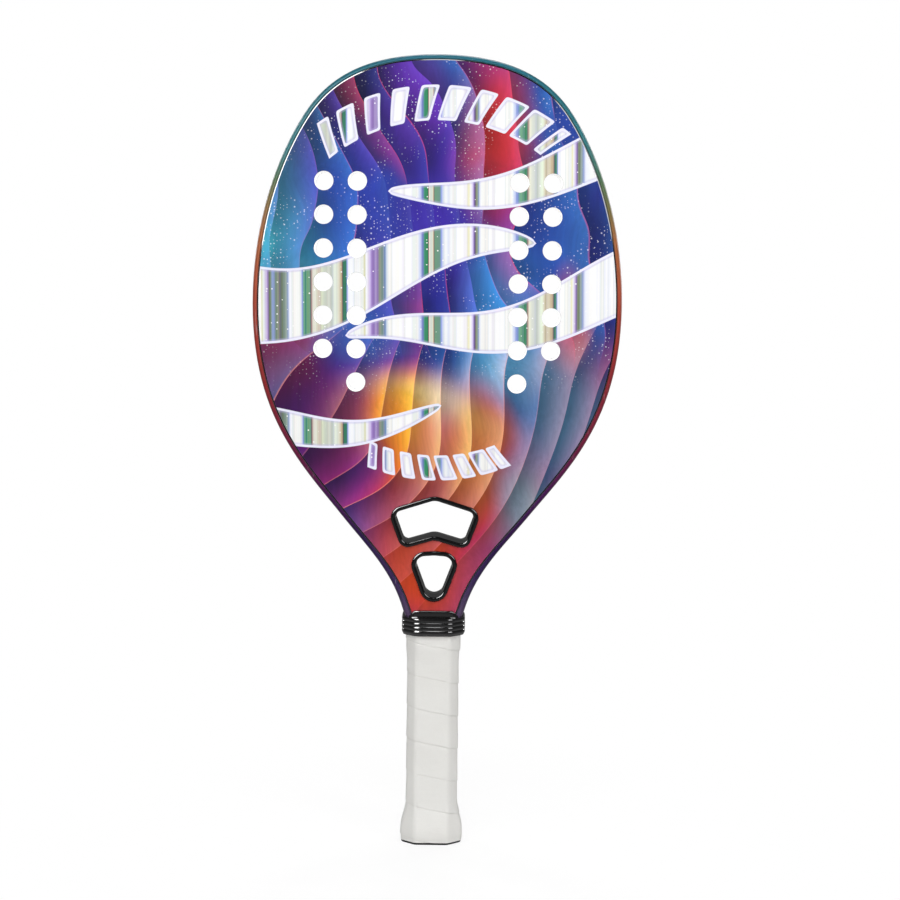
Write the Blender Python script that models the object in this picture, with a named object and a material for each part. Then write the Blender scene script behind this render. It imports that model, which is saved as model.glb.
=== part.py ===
# Beach tennis racket, as a bench would take it apart: a hollow hairpin frame tube, a drilled foam
# core, two thin face sheets, lined throat openings and an eight-sided handle with its grips.
# Metres. +Z runs up the racket to its head, the faces look along -Y and +Y, and the origin lies
# under the middle of the butt.

import math

import bmesh
import bpy
import numpy as np
from mathutils import Vector
from mathutils.geometry import interpolate_bezier

MM = 0.001
SHARP = math.radians(35)  # edges that turn more than this are drawn sharp

# Overall
LENGTH = 500 * MM
HEAD_WIDTH = 232.2 * MM
THICKNESS = 22 * MM
HANDLE_LENGTH = 148 * MM  # from the butt to the neck, where the collar ends
GAP = 0.3 * MM  # between pieces that touch

# Outline of the head, half of it, from the top of the head down to the handle
WIDEST_BELOW_TOP = 155.5 * MM
CORNER_BELOW_TOP = 31.2 * MM
CORNER_IN = 36.4 * MM  # in from the widest point
CORNER_SLOPE = math.radians(51.4)  # below level
THROAT_ABOVE_NECK = 61.4 * MM
THROAT_HALF = 59.6 * MM
THROAT_SLOPE = math.radians(38.9)  # from upright
NECK_BEYOND_GRIP = 2.8 * MM  # on each side
NECK_SLOPE = math.radians(16.5)  # from upright
NECK_ABOVE_COLLAR = 2 * MM
TOP_PULL = 0.568  # curve handles, as shares of the straight line between a stretch's ends
CORNER_UP_PULL = 0.21
CORNER_DOWN_PULL = 0.09
WIDEST_UP_PULL = 0.55
WIDEST_DOWN_PULL = 0.495
THROAT_UP_PULL = 0.27
THROAT_DOWN_PULL = 0.37
STRETCH_STEPS = (11, 10, 9, 7, 6)  # points on each stretch of the outline

# Frame tube
TUBE_WIDTH = 10 * MM
TUBE_WALL = 1.6 * MM
RAIL_ROUND_IN = 2.5 * MM  # less than the band, so that the face of the rail is flat
RAIL_ROUND_DOWN = 6 * MM
RAIL_STEPS = 4
RAIL_BAND = 3.0 * MM  # bare rail beside the face sheet
NECK_BAND = 4.8 * MM
LEG_TOP = 130 * MM
LEG_END = 30 * MM
LEGS_APART = 2.6 * MM
LEG_PULL = 0.32  # of the bend from neck to leg

# Core and face sheets
SHEET = 1.0 * MM
CORE_END = 142 * MM
SHEET_END = 146 * MM
HOLE = 12 * MM
HOLE_PITCH = 20.9 * MM
HOLE_OUTER_COLUMN_IN = 44.6 * MM  # in from the widest point
HOLE_ROWS = 7  # of the inner columns; the outer ones have one row less
HOLE_GRID_DROP = 3.9 * MM  # below the middle between throat opening and top
HOLE_SIDES = 14

# Throat openings: half outlines of the liners' outer edges, above the neck line
UPPER_OPENING = (
    # x, height above the neck line and corner radius, mm
    (0, 74.5, 12),
    (30.0, 65.0, 7.5),
    (20.8, 40.0, 6.5),
    (0, 46.1, 8),
)
LOWER_OPENING = (
    (0, 39.2, 20),
    (18.1, 37.9, 8.8),
    (0, -10.1, 9.1),
)
CORNER_STEPS = 5
LINER_OVERLAP = 1.5 * MM  # of the liner's rim over the face sheet
LINER_WALL = 1.6 * MM
LINER_TAPER = 0.5 * MM  # of the opening, from each face to the middle
BEAD_HEIGHT = 1.2 * MM
BEAD_WIDTH = 2.9 * MM
BEAD_SHOULDER = 0.62  # of the bead's height, where its round sides begin
BEAD_SIDE = 0.12  # of its width

# Handle, outside its grips
HANDLE_WIDTH = 33.2 * MM
HANDLE_DEPTH = 29 * MM
FRONT_FLAT = 21.5 * MM
SIDE_FLAT = 17 * MM
EDGE_RADIUS = 2.2 * MM
EDGE_STEPS = 3
BUTT_FLARE_WIDTH = 3.4 * MM
BUTT_FLARE_DEPTH = 2.4 * MM
BUTT_FLARE_TOP = 26 * MM
BUTT_FLARE_FULL = 6 * MM
BUTT_EDGE = 0.9 * MM  # how far the grip draws in again at the butt
TOP_FLARE = 0.9 * MM
TOP_FLARE_START = 117 * MM
GRIP_RING_STEP = 3.7 * MM  # between the base grip's rings in the flares
FOOT_RING_STEP = 4.4 * MM  # between the rings of the handle's halves and of the cap
PALLET_TOP = 127 * MM
PALLET_CAVITY_END = 28 * MM
PALLET_WALL = 1.7 * MM
PALLET_FACE_WALL = 2.3 * MM
OVERGRIP = 0.9 * MM
BASE_GRIP = 1.5 * MM
GRIP_SEAT = 0.45 * MM  # between the two grips, whose flats bridge the flares
BASE_GRIP_TOP = 133.5 * MM

# Overgrip, wound down the handle, each turn's lower edge proud of the next turn
WRAP_PITCH = 21.2 * MM
WRAP_GAP = 0.5 * MM
WRAP_STEP = 0.3 * MM
WRAP_CHAMFER = 0.35 * MM
WRAP_BOTTOM = 1.4 * MM
WRAP_TOP = 137 * MM
WRAP_LEAST_WIDTH = 3 * MM  # of the tape at its top end
WRAP_TAIL_WIDTH = 1 * MM  # at its bottom end
WRAP_STRIPS = 5  # flat strips across the tape's width
WRAP_START = -0.18  # of a turn, from the back right edge to where the tape's end meets its top
WRAP_NEAR = 12  # neighbouring sections left out when its gap to itself is measured

# Butt cap
CAP_RIM = 1.0 * MM
CAP_RIM_IN = 0.9 * MM  # inside the butt's widest outline
CAP_FLOOR = 2.4 * MM
CAP_WALL = 1.5 * MM
CAP_TOP = 22 * MM
CAP_RIM_CHAMFER = 0.5 * MM
CAP_RIB = 1.4 * MM
CAP_RIBS_APART = 10 * MM
CAP_RIB_TOP = 12 * MM
STAPLE_WIRE = 1.0 * MM
STAPLE_SPAN = 9 * MM
STAPLE_LEG = 5.5 * MM
STAPLE_Z = 18.5 * MM
STAPLE_SUNK = 0.15 * MM  # under the cap's surface

# Collar and finishing tape
COLLAR_BOTTOM = 135.3 * MM
COLLAR_WALL = 1.45 * MM  # from bore to the crest of the ribs
COLLAR_BULGE = 0.1 * MM
COLLAR_RIBS = 4
COLLAR_RIB_HEIGHT = 0.45 * MM
COLLAR_LIP = 1.0 * MM
COLLAR_LIP_IN = 1.1 * MM  # of the lower edge, inside the crests
COLLAR_TOP_IN = 0.2 * MM
COLLAR_SIDE_DROP = 1.2 * MM  # of its top at the sides, below the handle's length
COLLAR_FACE_RISE = 3.7 * MM  # of its top on the faces of the neck, above it
COLLAR_RISE_IN = 2.9 * MM  # from the side of the neck to where the rise ends
COLLAR_RISE_FADE = 3.3 * MM
COLLAR_FLAT_SHARE = 0.12  # of the front flat, from its ends to the points laid on it
SHOULDER_IN = 0.4  # of the way from the ribs to the neck, where the top is rounded
SHOULDER_UP = 0.68  # of the rise at that place
RIB_RISE = 0.3  # of a rib's pitch, from groove to crest
RIB_FALL = 0.72  # where the crest ends
BORE_BEND = 1.5 * MM  # from the grip's bore to the neck's
COLLAR_STEP = 140 * MM  # inside, where the grip's bore meets the neck's
NECK_CORNER = 2 * MM  # of the neck's bore
TAPE = 0.5 * MM
TAPE_WIDTH = 3.4 * MM

NECK = HANDLE_LENGTH + NECK_ABOVE_COLLAR
NECK_HALF = HANDLE_WIDTH / 2 + NECK_BEYOND_GRIP
COLLAR_RISE_HALF = NECK_HALF - COLLAR_RISE_IN
FACE = THICKNESS / 2
GRIPS = OVERGRIP + GRIP_SEAT + BASE_GRIP + GAP
LEG_HALF = HANDLE_WIDTH / 2 - GRIPS - PALLET_WALL - GAP
LEG_WIDTH = LEG_HALF - LEGS_APART / 2
LEG_FACE = HANDLE_DEPTH / 2 - GRIPS - PALLET_FACE_WALL - GAP
REBATE = SHEET + GAP

parts = None
cutters = None


def smooth(share):
    share = min(max(share, 0.0), 1.0)
    return share * share * (3 - 2 * share)


def mix(a, b, share):
    return a + (b - a) * share


def clear_scene():
    for old in list(bpy.data.objects):
        bpy.data.objects.remove(old, do_unlink=True)


def new_collection(name):
    made = bpy.data.collections.new(name)
    bpy.context.scene.collection.children.link(made)
    return made


def finish(name, color, roughness, metallic=0.0):
    material = bpy.data.materials.new(name)
    material.use_nodes = True
    shader = material.node_tree.nodes["Principled BSDF"]
    shader.inputs["Base Color"].default_value = (*color, 1)
    shader.inputs["Roughness"].default_value = roughness
    shader.inputs["Metallic"].default_value = metallic
    return material


def place(name, mesh, material=None):
    """Puts a mesh in the scene: among the parts when it has a material, else as a cutter."""
    made = bpy.data.objects.new(name, mesh)
    if material is None:
        cutters.objects.link(made)
        made.hide_render = True
        made.display_type = "WIRE"
        return made
    parts.objects.link(made)
    made.data.materials.append(material)
    return made


def mesh_from(bm, name):
    bmesh.ops.recalc_face_normals(bm, faces=bm.faces)
    if bm.calc_volume(signed=True) < 0:
        bmesh.ops.reverse_faces(bm, faces=bm.faces)
    mesh = bpy.data.meshes.new(name)
    bm.to_mesh(mesh)
    bm.free()
    mesh.shade_smooth()
    mesh.set_sharp_from_angle(angle=SHARP)
    return mesh


def skin(bm, loops, closed=False):
    """Joins equal loops of points, one after the other, with faces. Returns the loops' vertices."""
    rows = [[bm.verts.new(point) for point in loop] for loop in loops]
    pairs = list(zip(rows, rows[1:]))
    if closed:
        pairs.append((rows[-1], rows[0]))
    for low, high in pairs:
        for i in range(len(low)):
            j = (i + 1) % len(low)
            bm.faces.new((low[i], low[j], high[j], high[i]))
    return rows


def lofted(name, loops, ring=False):
    """A mesh through the loops: capped at both ends, or joined up into a ring."""
    bm = bmesh.new()
    rows = skin(bm, loops, closed=ring)
    if not ring:
        bm.faces.new(rows[0])
        bm.faces.new(rows[-1])
    return mesh_from(bm, name)


def combine(body, tool, operation="DIFFERENCE"):
    modifier = body.modifiers.new(tool.name, "BOOLEAN")
    modifier.operation = operation
    modifier.solver = "EXACT"
    modifier.object = tool


# Outline of the head


def direction(across, up):
    return Vector((across, 0, up)).normalized()


def outline_stretches():
    """The half outline as curve stretches: start, two handles, end."""
    half = HEAD_WIDTH / 2
    right = Vector((1, 0, 0))
    up = Vector((0, 0, 1))
    marks = (
        # point, direction of travel, pull before it and after it
        (Vector((0, 0, LENGTH)), right, 0, TOP_PULL),
        (
            Vector((half - CORNER_IN, 0, LENGTH - CORNER_BELOW_TOP)),
            direction(math.cos(CORNER_SLOPE), -math.sin(CORNER_SLOPE)),
            CORNER_UP_PULL,
            CORNER_DOWN_PULL,
        ),
        (Vector((half, 0, LENGTH - WIDEST_BELOW_TOP)), -up, WIDEST_UP_PULL, WIDEST_DOWN_PULL),
        (
            Vector((THROAT_HALF, 0, NECK + THROAT_ABOVE_NECK)),
            direction(-math.sin(THROAT_SLOPE), -math.cos(THROAT_SLOPE)),
            THROAT_UP_PULL,
            THROAT_DOWN_PULL,
        ),
        (
            Vector((NECK_HALF, 0, NECK)),
            direction(-math.sin(NECK_SLOPE), -math.cos(NECK_SLOPE)),
            THROAT_DOWN_PULL,
            LEG_PULL,
        ),
        (Vector((LEG_HALF, 0, LEG_TOP)), -up, LEG_PULL, 0),
    )
    stretches = []
    for (start, away, _, pull), (end, towards, back, _) in zip(marks, marks[1:]):
        reach = (end - start).length
        stretches.append((start, start + away * pull * reach, end - towards * back * reach, end))
    return stretches


def outline_stations():
    """Points of the half outline with the direction that leads inwards, ending at the leg's foot."""
    points = []
    for stretch, steps in zip(outline_stretches(), STRETCH_STEPS):
        points += interpolate_bezier(*stretch, steps)[:-1]
    points.append(Vector((LEG_HALF, 0, LEG_TOP)))
    stations = []
    for i, point in enumerate(points):
        before = points[i - 1] if i else Vector((-points[1].x, 0, points[1].z))
        after = points[i + 1] if i + 1 < len(points) else point + Vector((0, 0, -1))
        ahead = (after - point).normalized() + (point - before).normalized()
        stations.append((point, direction(ahead.z, -ahead.x)))
    stations[-1] = (points[-1], Vector((-1, 0, 0)))
    stations.append((Vector((LEG_HALF, 0, LEG_END)), Vector((-1, 0, 0))))
    return stations


def half_width_at(z):
    """Half the frame's width at a height below its widest point."""
    points = [point for point, _ in outline_stations()]
    for above, below in zip(points, points[1:]):
        if below.z <= z < above.z and above.z <= LENGTH - WIDEST_BELOW_TOP:
            return mix(below.x, above.x, (z - below.z) / (above.z - below.z))
    return points[-1].x


def leg_share(z):
    """0 in the head, 1 in the legs inside the handle."""
    return smooth((NECK - z) / (NECK - LEG_TOP))


def tube_width(z):
    return mix(TUBE_WIDTH, LEG_WIDTH, leg_share(z))


def rail_band(z):
    share = smooth((NECK + THROAT_ABOVE_NECK - z) / THROAT_ABOVE_NECK)
    return mix(RAIL_BAND, NECK_BAND, share)


def inset_outline(inset, end):
    """The closed outline drawn in by inset(z), cut off level at the height end: (x, z) points."""
    half = []
    for point, inwards in outline_stations():
        moved = point + inwards * inset(point.z)
        if moved.z <= end:
            last = half[-1]
            share = (last.z - end) / (last.z - moved.z)
            half.append(last.lerp(moved, share))
            break
        half.append(moved)
    right = [(point.x, point.z) for point in half]
    return right + [(-x, z) for x, z in reversed(right[1:])]


# Frame tube


def rail_curve(face):
    """The rail's rounding, from its side to the crest beside the face: (inset, depth)."""
    turns = [math.pi / 2 * i / RAIL_STEPS for i in range(RAIL_STEPS + 1)]
    shoulder = face - RAIL_ROUND_DOWN
    curve = []
    for turn in turns:
        inset = RAIL_ROUND_IN * (1 - math.cos(turn))
        curve.append((inset, shoulder + RAIL_ROUND_DOWN * math.sin(turn)))
    return curve


def tube_loops(point, inwards):
    """The tube's outer and inner loop at a station, in its own profile."""
    share = leg_share(point.z)
    face = mix(FACE, LEG_FACE, share)
    width = tube_width(point.z)
    band = rail_band(point.z)
    front = rail_curve(face) + [(band, face), (band, face - REBATE), (width, face - REBATE)]
    roof = face - REBATE - TUBE_WALL
    bore = [
        (TUBE_WALL, face - RAIL_ROUND_DOWN),
        (TUBE_WALL + RAIL_ROUND_IN / 2, roof),
        (width - TUBE_WALL, roof),
    ]
    loops = []
    for profile in (front, bore):
        both = [(u, -v) for u, v in profile] + [(u, v) for u, v in reversed(profile)]
        loops.append([point + inwards * u + Vector((0, v, 0)) for u, v in both])
    return loops


def mirrored(loop):
    return [Vector((-point.x, point.y, point.z)) for point in loop]


def frame_tube():
    right = [tube_loops(*station) for station in outline_stations()]
    left = [[mirrored(loop) for loop in pair] for pair in reversed(right[1:])]
    stations = left + right
    bm = bmesh.new()
    outer = skin(bm, [pair[0] for pair in stations])
    bore = skin(bm, [pair[1] for pair in stations])
    for end in (0, -1):
        rim = []
        for row in (outer[end], bore[end]):
            for i, vertex in enumerate(row):
                rim.append(bm.edges.get((vertex, row[(i + 1) % len(row)])))
        bmesh.ops.triangle_fill(bm, edges=rim, use_beauty=True)
    material = finish("frame lacquer", (0.10, 0.07, 0.16), 0.2)
    place("frame_tube", mesh_from(bm, "frame_tube"), material)


# Openings of the throat


def whole_outline(half):
    """Mirrors a half outline that starts and ends on the racket's middle."""
    right = [(x * MM, NECK + z * MM, radius * MM) for x, z, radius in half]
    left = [(-x, z, radius) for x, z, radius in reversed(right[1:-1])]
    return right + left


def rounded(corners, inset, steps):
    """A polygon drawn in by inset, its corners rounded, as (x, z) points. It runs clockwise."""
    count = len(corners)
    points = [Vector((x, z)) for x, z, _ in corners]
    sides = [(points[(i + 1) % count] - points[i]).normalized() for i in range(count)]
    result = []
    for i in range(count):
        before = sides[i - 1]
        after = sides[i]
        inner_before = Vector((before.y, -before.x))
        inner_after = Vector((after.y, -after.x))
        turn = before.x * after.y - before.y * after.x
        bisector = (inner_before + inner_after).normalized()
        lean = bisector.dot(inner_after)
        sharp = points[i] + bisector * (inset / lean)
        convex = turn < 0
        radius = corners[i][2] - inset if convex else corners[i][2] + inset
        centre = sharp + bisector * (radius / lean if convex else -radius / lean)
        sign = -1 if convex else 1
        first = math.atan2(*(inner_before * sign).yx)
        last = math.atan2(*(inner_after * sign).yx)
        sweep = (last - first + math.pi) % (2 * math.pi) - math.pi
        for step in range(steps):
            angle = first + sweep * step / (steps - 1)
            arm = Vector((math.cos(angle), math.sin(angle))) * radius
            result.append(tuple(centre + arm))
    return result


def liner_profile():
    """A liner's half profile: (inset from its outer edge, depth from the racket's middle)."""
    rest = FACE + GAP
    wall_outside = LINER_OVERLAP + GAP
    wall_inside = wall_outside + LINER_WALL
    shoulder = rest + BEAD_SHOULDER * BEAD_HEIGHT
    return (
        (0, rest),
        (BEAD_SIDE * BEAD_WIDTH, shoulder),
        (BEAD_WIDTH / 2, rest + BEAD_HEIGHT),
        ((1 - BEAD_SIDE) * BEAD_WIDTH, shoulder),
        (wall_inside - LINER_TAPER, rest - BEAD_HEIGHT),
        (wall_inside, GAP / 2),
        (wall_outside, GAP / 2),
        (wall_outside, rest),
    )


def liners(name, half):
    corners = whole_outline(half)
    material = finish(name + " gloss black", (0.012, 0.012, 0.013), 0.12)
    for side, sign in (("front", -1), ("back", 1)):
        loops = []
        for inset, depth in liner_profile():
            ring = rounded(corners, inset, CORNER_STEPS)
            loops.append([Vector((x, sign * depth, z)) for x, z in ring])
        mesh = lofted(f"{name}_{side}", loops, ring=True)
        place(f"{name}_{side}", mesh, material)


# Core and face sheets


def hole_centres():
    opening_top = NECK + UPPER_OPENING[0][1] * MM
    middle = (opening_top + LENGTH) / 2 - HOLE_GRID_DROP
    top = middle + HOLE_PITCH * (HOLE_ROWS - 1) / 2
    outer = HEAD_WIDTH / 2 - HOLE_OUTER_COLUMN_IN
    centres = []
    for column, rows in ((outer - HOLE_PITCH, HOLE_ROWS), (outer, HOLE_ROWS - 1)):
        for row in range(rows):
            z = top - row * HOLE_PITCH
            centres += [(-column, z), (column, z)]
    return centres


def circle(centre, radius, sides):
    turns = [2 * math.pi * (i + 0.5) / sides for i in range(sides)]
    return [(centre[0] + radius * math.cos(t), centre[1] + radius * math.sin(t)) for t in turns]


def plate(name, outline, thickness, middle, material):
    """A flat piece in the XZ plane with the racket's holes and openings through it."""
    curve = bpy.data.curves.new(name, "CURVE")
    curve.dimensions = "2D"
    curve.fill_mode = "BOTH"
    curve.extrude = thickness / 2
    rings = [outline]
    for centre in hole_centres():
        rings.append(circle(centre, HOLE / 2, HOLE_SIDES))
    for half in (UPPER_OPENING, LOWER_OPENING):
        rings.append(rounded(whole_outline(half), LINER_OVERLAP, CORNER_STEPS))
    for ring in rings:
        spline = curve.splines.new("POLY")
        spline.points.add(len(ring) - 1)
        spline.use_cyclic_u = True
        for point, (x, z) in zip(spline.points, ring):
            point.co = (x, z, 0, 1)
    made = bpy.data.objects.new(name, curve)
    made.rotation_euler = (math.pi / 2, 0, 0)
    made.location = (0, middle, 0)
    parts.objects.link(made)
    curve.materials.append(material)


def core():
    outline = inset_outline(lambda z: tube_width(z) + GAP, CORE_END)
    thickness = 2 * (FACE - SHEET - GAP)
    plate("foam_core", outline, thickness, 0, finish("white foam", (0.87, 0.87, 0.85), 0.7))


def face_sheets():
    outline = inset_outline(lambda z: rail_band(z) + GAP, SHEET_END)
    for side, sign in (("front", -1), ("back", 1)):
        material = finish(f"{side} printed laminate", (0.10, 0.14, 0.45), 0.15)
        plate(f"{side}_face_sheet", outline, SHEET, sign * (FACE - SHEET / 2), material)


# Handle


def handle_corners(width, depth, front_flat, side_flat, radius):
    """An eight-sided section, clockwise from its back right corner seen from above."""
    a = width / 2
    b = depth / 2
    f = front_flat / 2
    g = side_flat / 2
    half = [(f, b), (a, g), (a, -g), (f, -b)]
    return [(x, y, radius) for x, y in half + [(-x, -y) for x, y in half]]


def grip_surface(z, below):
    """The loop round the handle at a height, so far below the grip's outer surface."""
    flare = smooth((BUTT_FLARE_TOP - z) / (BUTT_FLARE_TOP - BUTT_FLARE_FULL))
    edge = BUTT_EDGE * max(0.0, 1 - z / BUTT_FLARE_FULL) ** 2
    top = TOP_FLARE * smooth((z - TOP_FLARE_START) / (LEG_TOP - TOP_FLARE_START))
    grow = 2 * (top - edge)
    corners = handle_corners(
        HANDLE_WIDTH + grow + 2 * BUTT_FLARE_WIDTH * flare,
        HANDLE_DEPTH + grow + 2 * BUTT_FLARE_DEPTH * flare,
        FRONT_FLAT,
        SIDE_FLAT,
        EDGE_RADIUS + GRIPS,
    )
    return rounded(corners, below, EDGE_STEPS)


def ring_at(z, below):
    return [Vector((x, y, z)) for x, y in grip_surface(z, below)]


def heights(start, end, step):
    """Heights from start to end for a piece's rings, no further apart than step in the flares."""
    marks = [start, end]
    for low, high in ((0, BUTT_FLARE_TOP), (TOP_FLARE_START, LEG_TOP)):
        count = round((high - low) / step)
        marks += [mix(low, high, i / count) for i in range(count + 1)]
    far = [z for z in marks if min(z - start, end - z) > MM]
    return sorted([start, end, *far])


def grown(points, amount):
    """A closed outline of (x, y) points moved outwards by an amount, corner by corner."""
    count = len(points)
    area = sum(Vector(points[i - 1]).cross(Vector(points[i])) for i in range(count))
    outwards = 1 if area > 0 else -1
    result = []
    for i in range(count):
        before = (Vector(points[i]) - Vector(points[i - 1])).normalized()
        after = (Vector(points[(i + 1) % count]) - Vector(points[i])).normalized()
        normal = Vector((before.y + after.y, -before.x - after.x)).normalized() * outwards
        lean = normal.dot(Vector((after.y, -after.x)) * outwards)
        result.append(Vector(points[i]) + normal * (amount / lean))
    return result


def leg_rooms():
    """Cutter for the room that the frame's legs take between the handle's halves."""
    curve = rail_curve(LEG_FACE)
    right = [(LEG_HALF - u, -v) for u, v in reversed(curve)]
    right += [(LEG_HALF - u, v) for u, v in curve]
    outline = right + [(-x, y) for x, y in reversed(right)]
    room = grown(outline, GAP)
    loops = [[Vector((x, y, z)) for x, y in room] for z in (PALLET_CAVITY_END, PALLET_TOP + MM)]
    return place("leg rooms", lofted("leg rooms", loops))


def half_space(sign):
    """Cutter that leaves the half of a piece on the side of the sign."""
    bm = bmesh.new()
    far = HANDLE_WIDTH * 2
    across = sorted((sign * GAP / 2, -sign * far))
    box(bm, (across[0], -far, -far), (across[1], far, LENGTH))
    return place(f"other half {sign}", mesh_from(bm, "other half"))


def pallets(slots):
    material = finish("handle foam", (0.55, 0.50, 0.36), 0.8)
    shoulder = CAP_TOP + GAP
    spigot = grip_surface(shoulder, GRIPS + CAP_WALL + GAP)
    loops = [[Vector((x, y, z)) for x, y in spigot] for z in (CAP_FLOOR + GAP, shoulder)]
    loops += [ring_at(z, GRIPS) for z in heights(shoulder, PALLET_TOP, FOOT_RING_STEP)]
    rooms = leg_rooms()
    for side, sign in (("left", -1), ("right", 1)):
        half = place(f"handle_half_{side}", lofted(f"handle_half_{side}", loops), material)
        combine(half, half_space(sign))
        combine(half, rooms)
        for slot in slots:
            combine(half, slot)


def base_grip():
    levels = heights(CAP_RIM + GAP, BASE_GRIP_TOP, GRIP_RING_STEP)
    outside = [ring_at(z, OVERGRIP + GRIP_SEAT) for z in levels]
    inside = [ring_at(z, GRIPS - GAP) for z in reversed(levels)]
    material = finish("base grip", (0.05, 0.05, 0.05), 0.8)
    place("base_grip", lofted("base_grip", outside + inside, ring=True), material)


def wrap_profile():
    """The tape's section, from its middle line: (height, depth below the grip's surface)."""
    half = (WRAP_PITCH - WRAP_GAP) / 2
    outside = [(-half + WRAP_CHAMFER, 0)]
    inside = [(half, OVERGRIP)]
    for i in range(1, WRAP_STRIPS):
        share = i / WRAP_STRIPS
        outside.append((mix(-half, half, share), WRAP_STEP * share))
        inside.append((mix(half, -half, share), OVERGRIP))
    outside.append((half, WRAP_STEP))
    inside.append((-half, OVERGRIP))
    return [*outside, *inside, (-half, WRAP_CHAMFER)]


def wrap_loops():
    """Sections of the overgrip along its winding, which runs down to the right at the front."""
    guide = [Vector(point) for point in grip_surface((BUTT_FLARE_TOP + TOP_FLARE_START) / 2, 0)]
    count = len(guide)
    sides = [(guide[(i + 1) % count] - guide[i]).length for i in range(count)]
    shares = [sum(sides[count - i :]) / sum(sides) for i in range(count)]
    profile = wrap_profile()
    half = (WRAP_PITCH - WRAP_GAP) / 2
    loops = []
    step = 0
    while True:
        turn, i = divmod(step, count)
        middle = WRAP_TOP + half - WRAP_PITCH * (turn + shares[i] + WRAP_START)
        step += 1
        if middle - half > WRAP_TOP - WRAP_LEAST_WIDTH:
            continue
        if middle + half < WRAP_BOTTOM + WRAP_TAIL_WIDTH:
            return loops
        loop = []
        for height, below in profile:
            z = min(max(middle + height, WRAP_BOTTOM), WRAP_TOP)
            x, y = grip_surface(z, below)[-i]
            loop.append(Vector((x, y, z)))
        loops.append(loop)


def overgrip():
    loops = wrap_loops()
    points = np.array([[tuple(point) for point in loop] for loop in loops])
    least = math.inf
    for i in range(len(points) - WRAP_NEAR):
        others = points[i + WRAP_NEAR :].reshape(-1, 3)
        gaps = np.linalg.norm(points[i][:, None] - others[None], axis=2)
        least = min(least, gaps.min())
    print(f"overgrip: {len(loops)} sections, least gap to itself {least / MM:.2f} mm")
    material = finish("white overgrip", (0.78, 0.78, 0.75), 0.6)
    place("overgrip", lofted("overgrip", loops), material)


# Butt cap


def reach(z, below):
    """How far the handle's surface reaches at a height: sideways and to the front."""
    loop = grip_surface(z, below)
    return max(x for x, _ in loop), max(y for _, y in loop)


def box(bm, low, high):
    made = bmesh.ops.create_cube(bm, size=1)["verts"]
    bmesh.ops.scale(bm, vec=Vector(high) - Vector(low), verts=made)
    bmesh.ops.translate(bm, vec=(Vector(high) + Vector(low)) / 2, verts=made)


def cap_ribs():
    """Ribs inside the cap's skirt, two on each of its four sides, which the foot sits between."""
    bite = CAP_WALL / 2
    foot = reach(CAP_TOP + GAP, GRIPS + CAP_WALL)
    shell = reach(BUTT_FLARE_FULL, GRIPS + CAP_WALL)
    bm = bmesh.new()
    for sign in (-1, 1):
        for place_along in (-CAP_RIBS_APART / 2, CAP_RIBS_APART / 2):
            low = place_along - CAP_RIB / 2
            side = sorted((sign * foot[0], sign * (shell[0] + bite)))
            face = sorted((sign * foot[1], sign * (shell[1] + bite)))
            base = CAP_FLOOR - bite
            box(bm, (side[0], low, base), (side[1], low + CAP_RIB, CAP_RIB_TOP))
            box(bm, (low, face[0], base), (low + CAP_RIB, face[1], CAP_RIB_TOP))
    return place("cap ribs", mesh_from(bm, "cap ribs"))


def butt_cap(slots):
    rim = [(0, CAP_RIM_IN + CAP_RIM_CHAMFER), (CAP_RIM_CHAMFER, CAP_RIM_IN), (CAP_RIM, CAP_RIM_IN)]
    widest = [(z, grip_surface(BUTT_FLARE_FULL, below)) for z, below in rim]
    loops = [[Vector((x, y, z)) for x, y in loop] for z, loop in widest]
    levels = heights(CAP_RIM, CAP_TOP, FOOT_RING_STEP)
    loops += [ring_at(z, GRIPS) for z in levels]
    loops += [ring_at(z, GRIPS + CAP_WALL) for z in reversed(levels) if z > CAP_FLOOR]
    loops.append(ring_at(CAP_FLOOR, GRIPS + CAP_WALL))
    material = finish("black plastic", (0.02, 0.02, 0.02), 0.35)
    cap = place("butt_cap", lofted("butt_cap", loops), material)
    combine(cap, cap_ribs(), "UNION")
    for slot in slots:
        combine(cap, slot)


def staple_mesh(name, grow, sunk):
    """A staple that lies on the XY plane, its crown along X and its legs towards +Y."""
    half = STAPLE_SPAN / 2
    outer = half + grow
    inner = half - STAPLE_WIRE - grow
    crown = STAPLE_WIRE + grow
    tip = STAPLE_LEG + grow
    outline = [(-outer, -sunk), (outer, -sunk), (outer, tip), (inner, tip)]
    outline += [(inner, crown), (-inner, crown), (-inner, tip), (-outer, tip)]
    thick = STAPLE_WIRE / 2 + grow
    return lofted(name, [[Vector((x, y, z)) for x, y in outline] for z in (-thick, thick)])


def staples():
    """Four staples through the cap into the handle's foot. Returns the cutters of their slots."""
    side, face = reach(STAPLE_Z, GRIPS + STAPLE_SUNK)
    slots = []
    material = finish("galvanised wire", (0.6, 0.6, 0.6), 0.35, 1.0)
    sides = (("front", 0, face), ("right", 1, side), ("back", 2, face), ("left", 3, side))
    for name, turn, out in sides:
        angle = turn * math.pi / 2
        spot = (out * math.sin(angle), -out * math.cos(angle), STAPLE_Z)
        staple = place(f"cap_staple_{name}", staple_mesh("staple", 0, 0), material)
        slot = place(f"staple slot {name}", staple_mesh("staple slot", GAP, 2 * STAPLE_WIRE))
        for made in (staple, slot):
            made.location = spot
            made.rotation_euler = (0, 0, angle)
        slots.append(slot)
    return slots


# Collar and finishing tape


def finishing_tape():
    low = COLLAR_BOTTOM + GAP
    levels = (low, low + TAPE_WIDTH)
    outside = [ring_at(z, -GAP - TAPE) for z in levels]
    inside = [ring_at(z, -GAP) for z in reversed(levels)]
    material = finish("finishing tape", (0.02, 0.02, 0.02), 0.3)
    place("finishing_tape", lofted("finishing_tape", outside + inside, ring=True), material)


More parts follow.
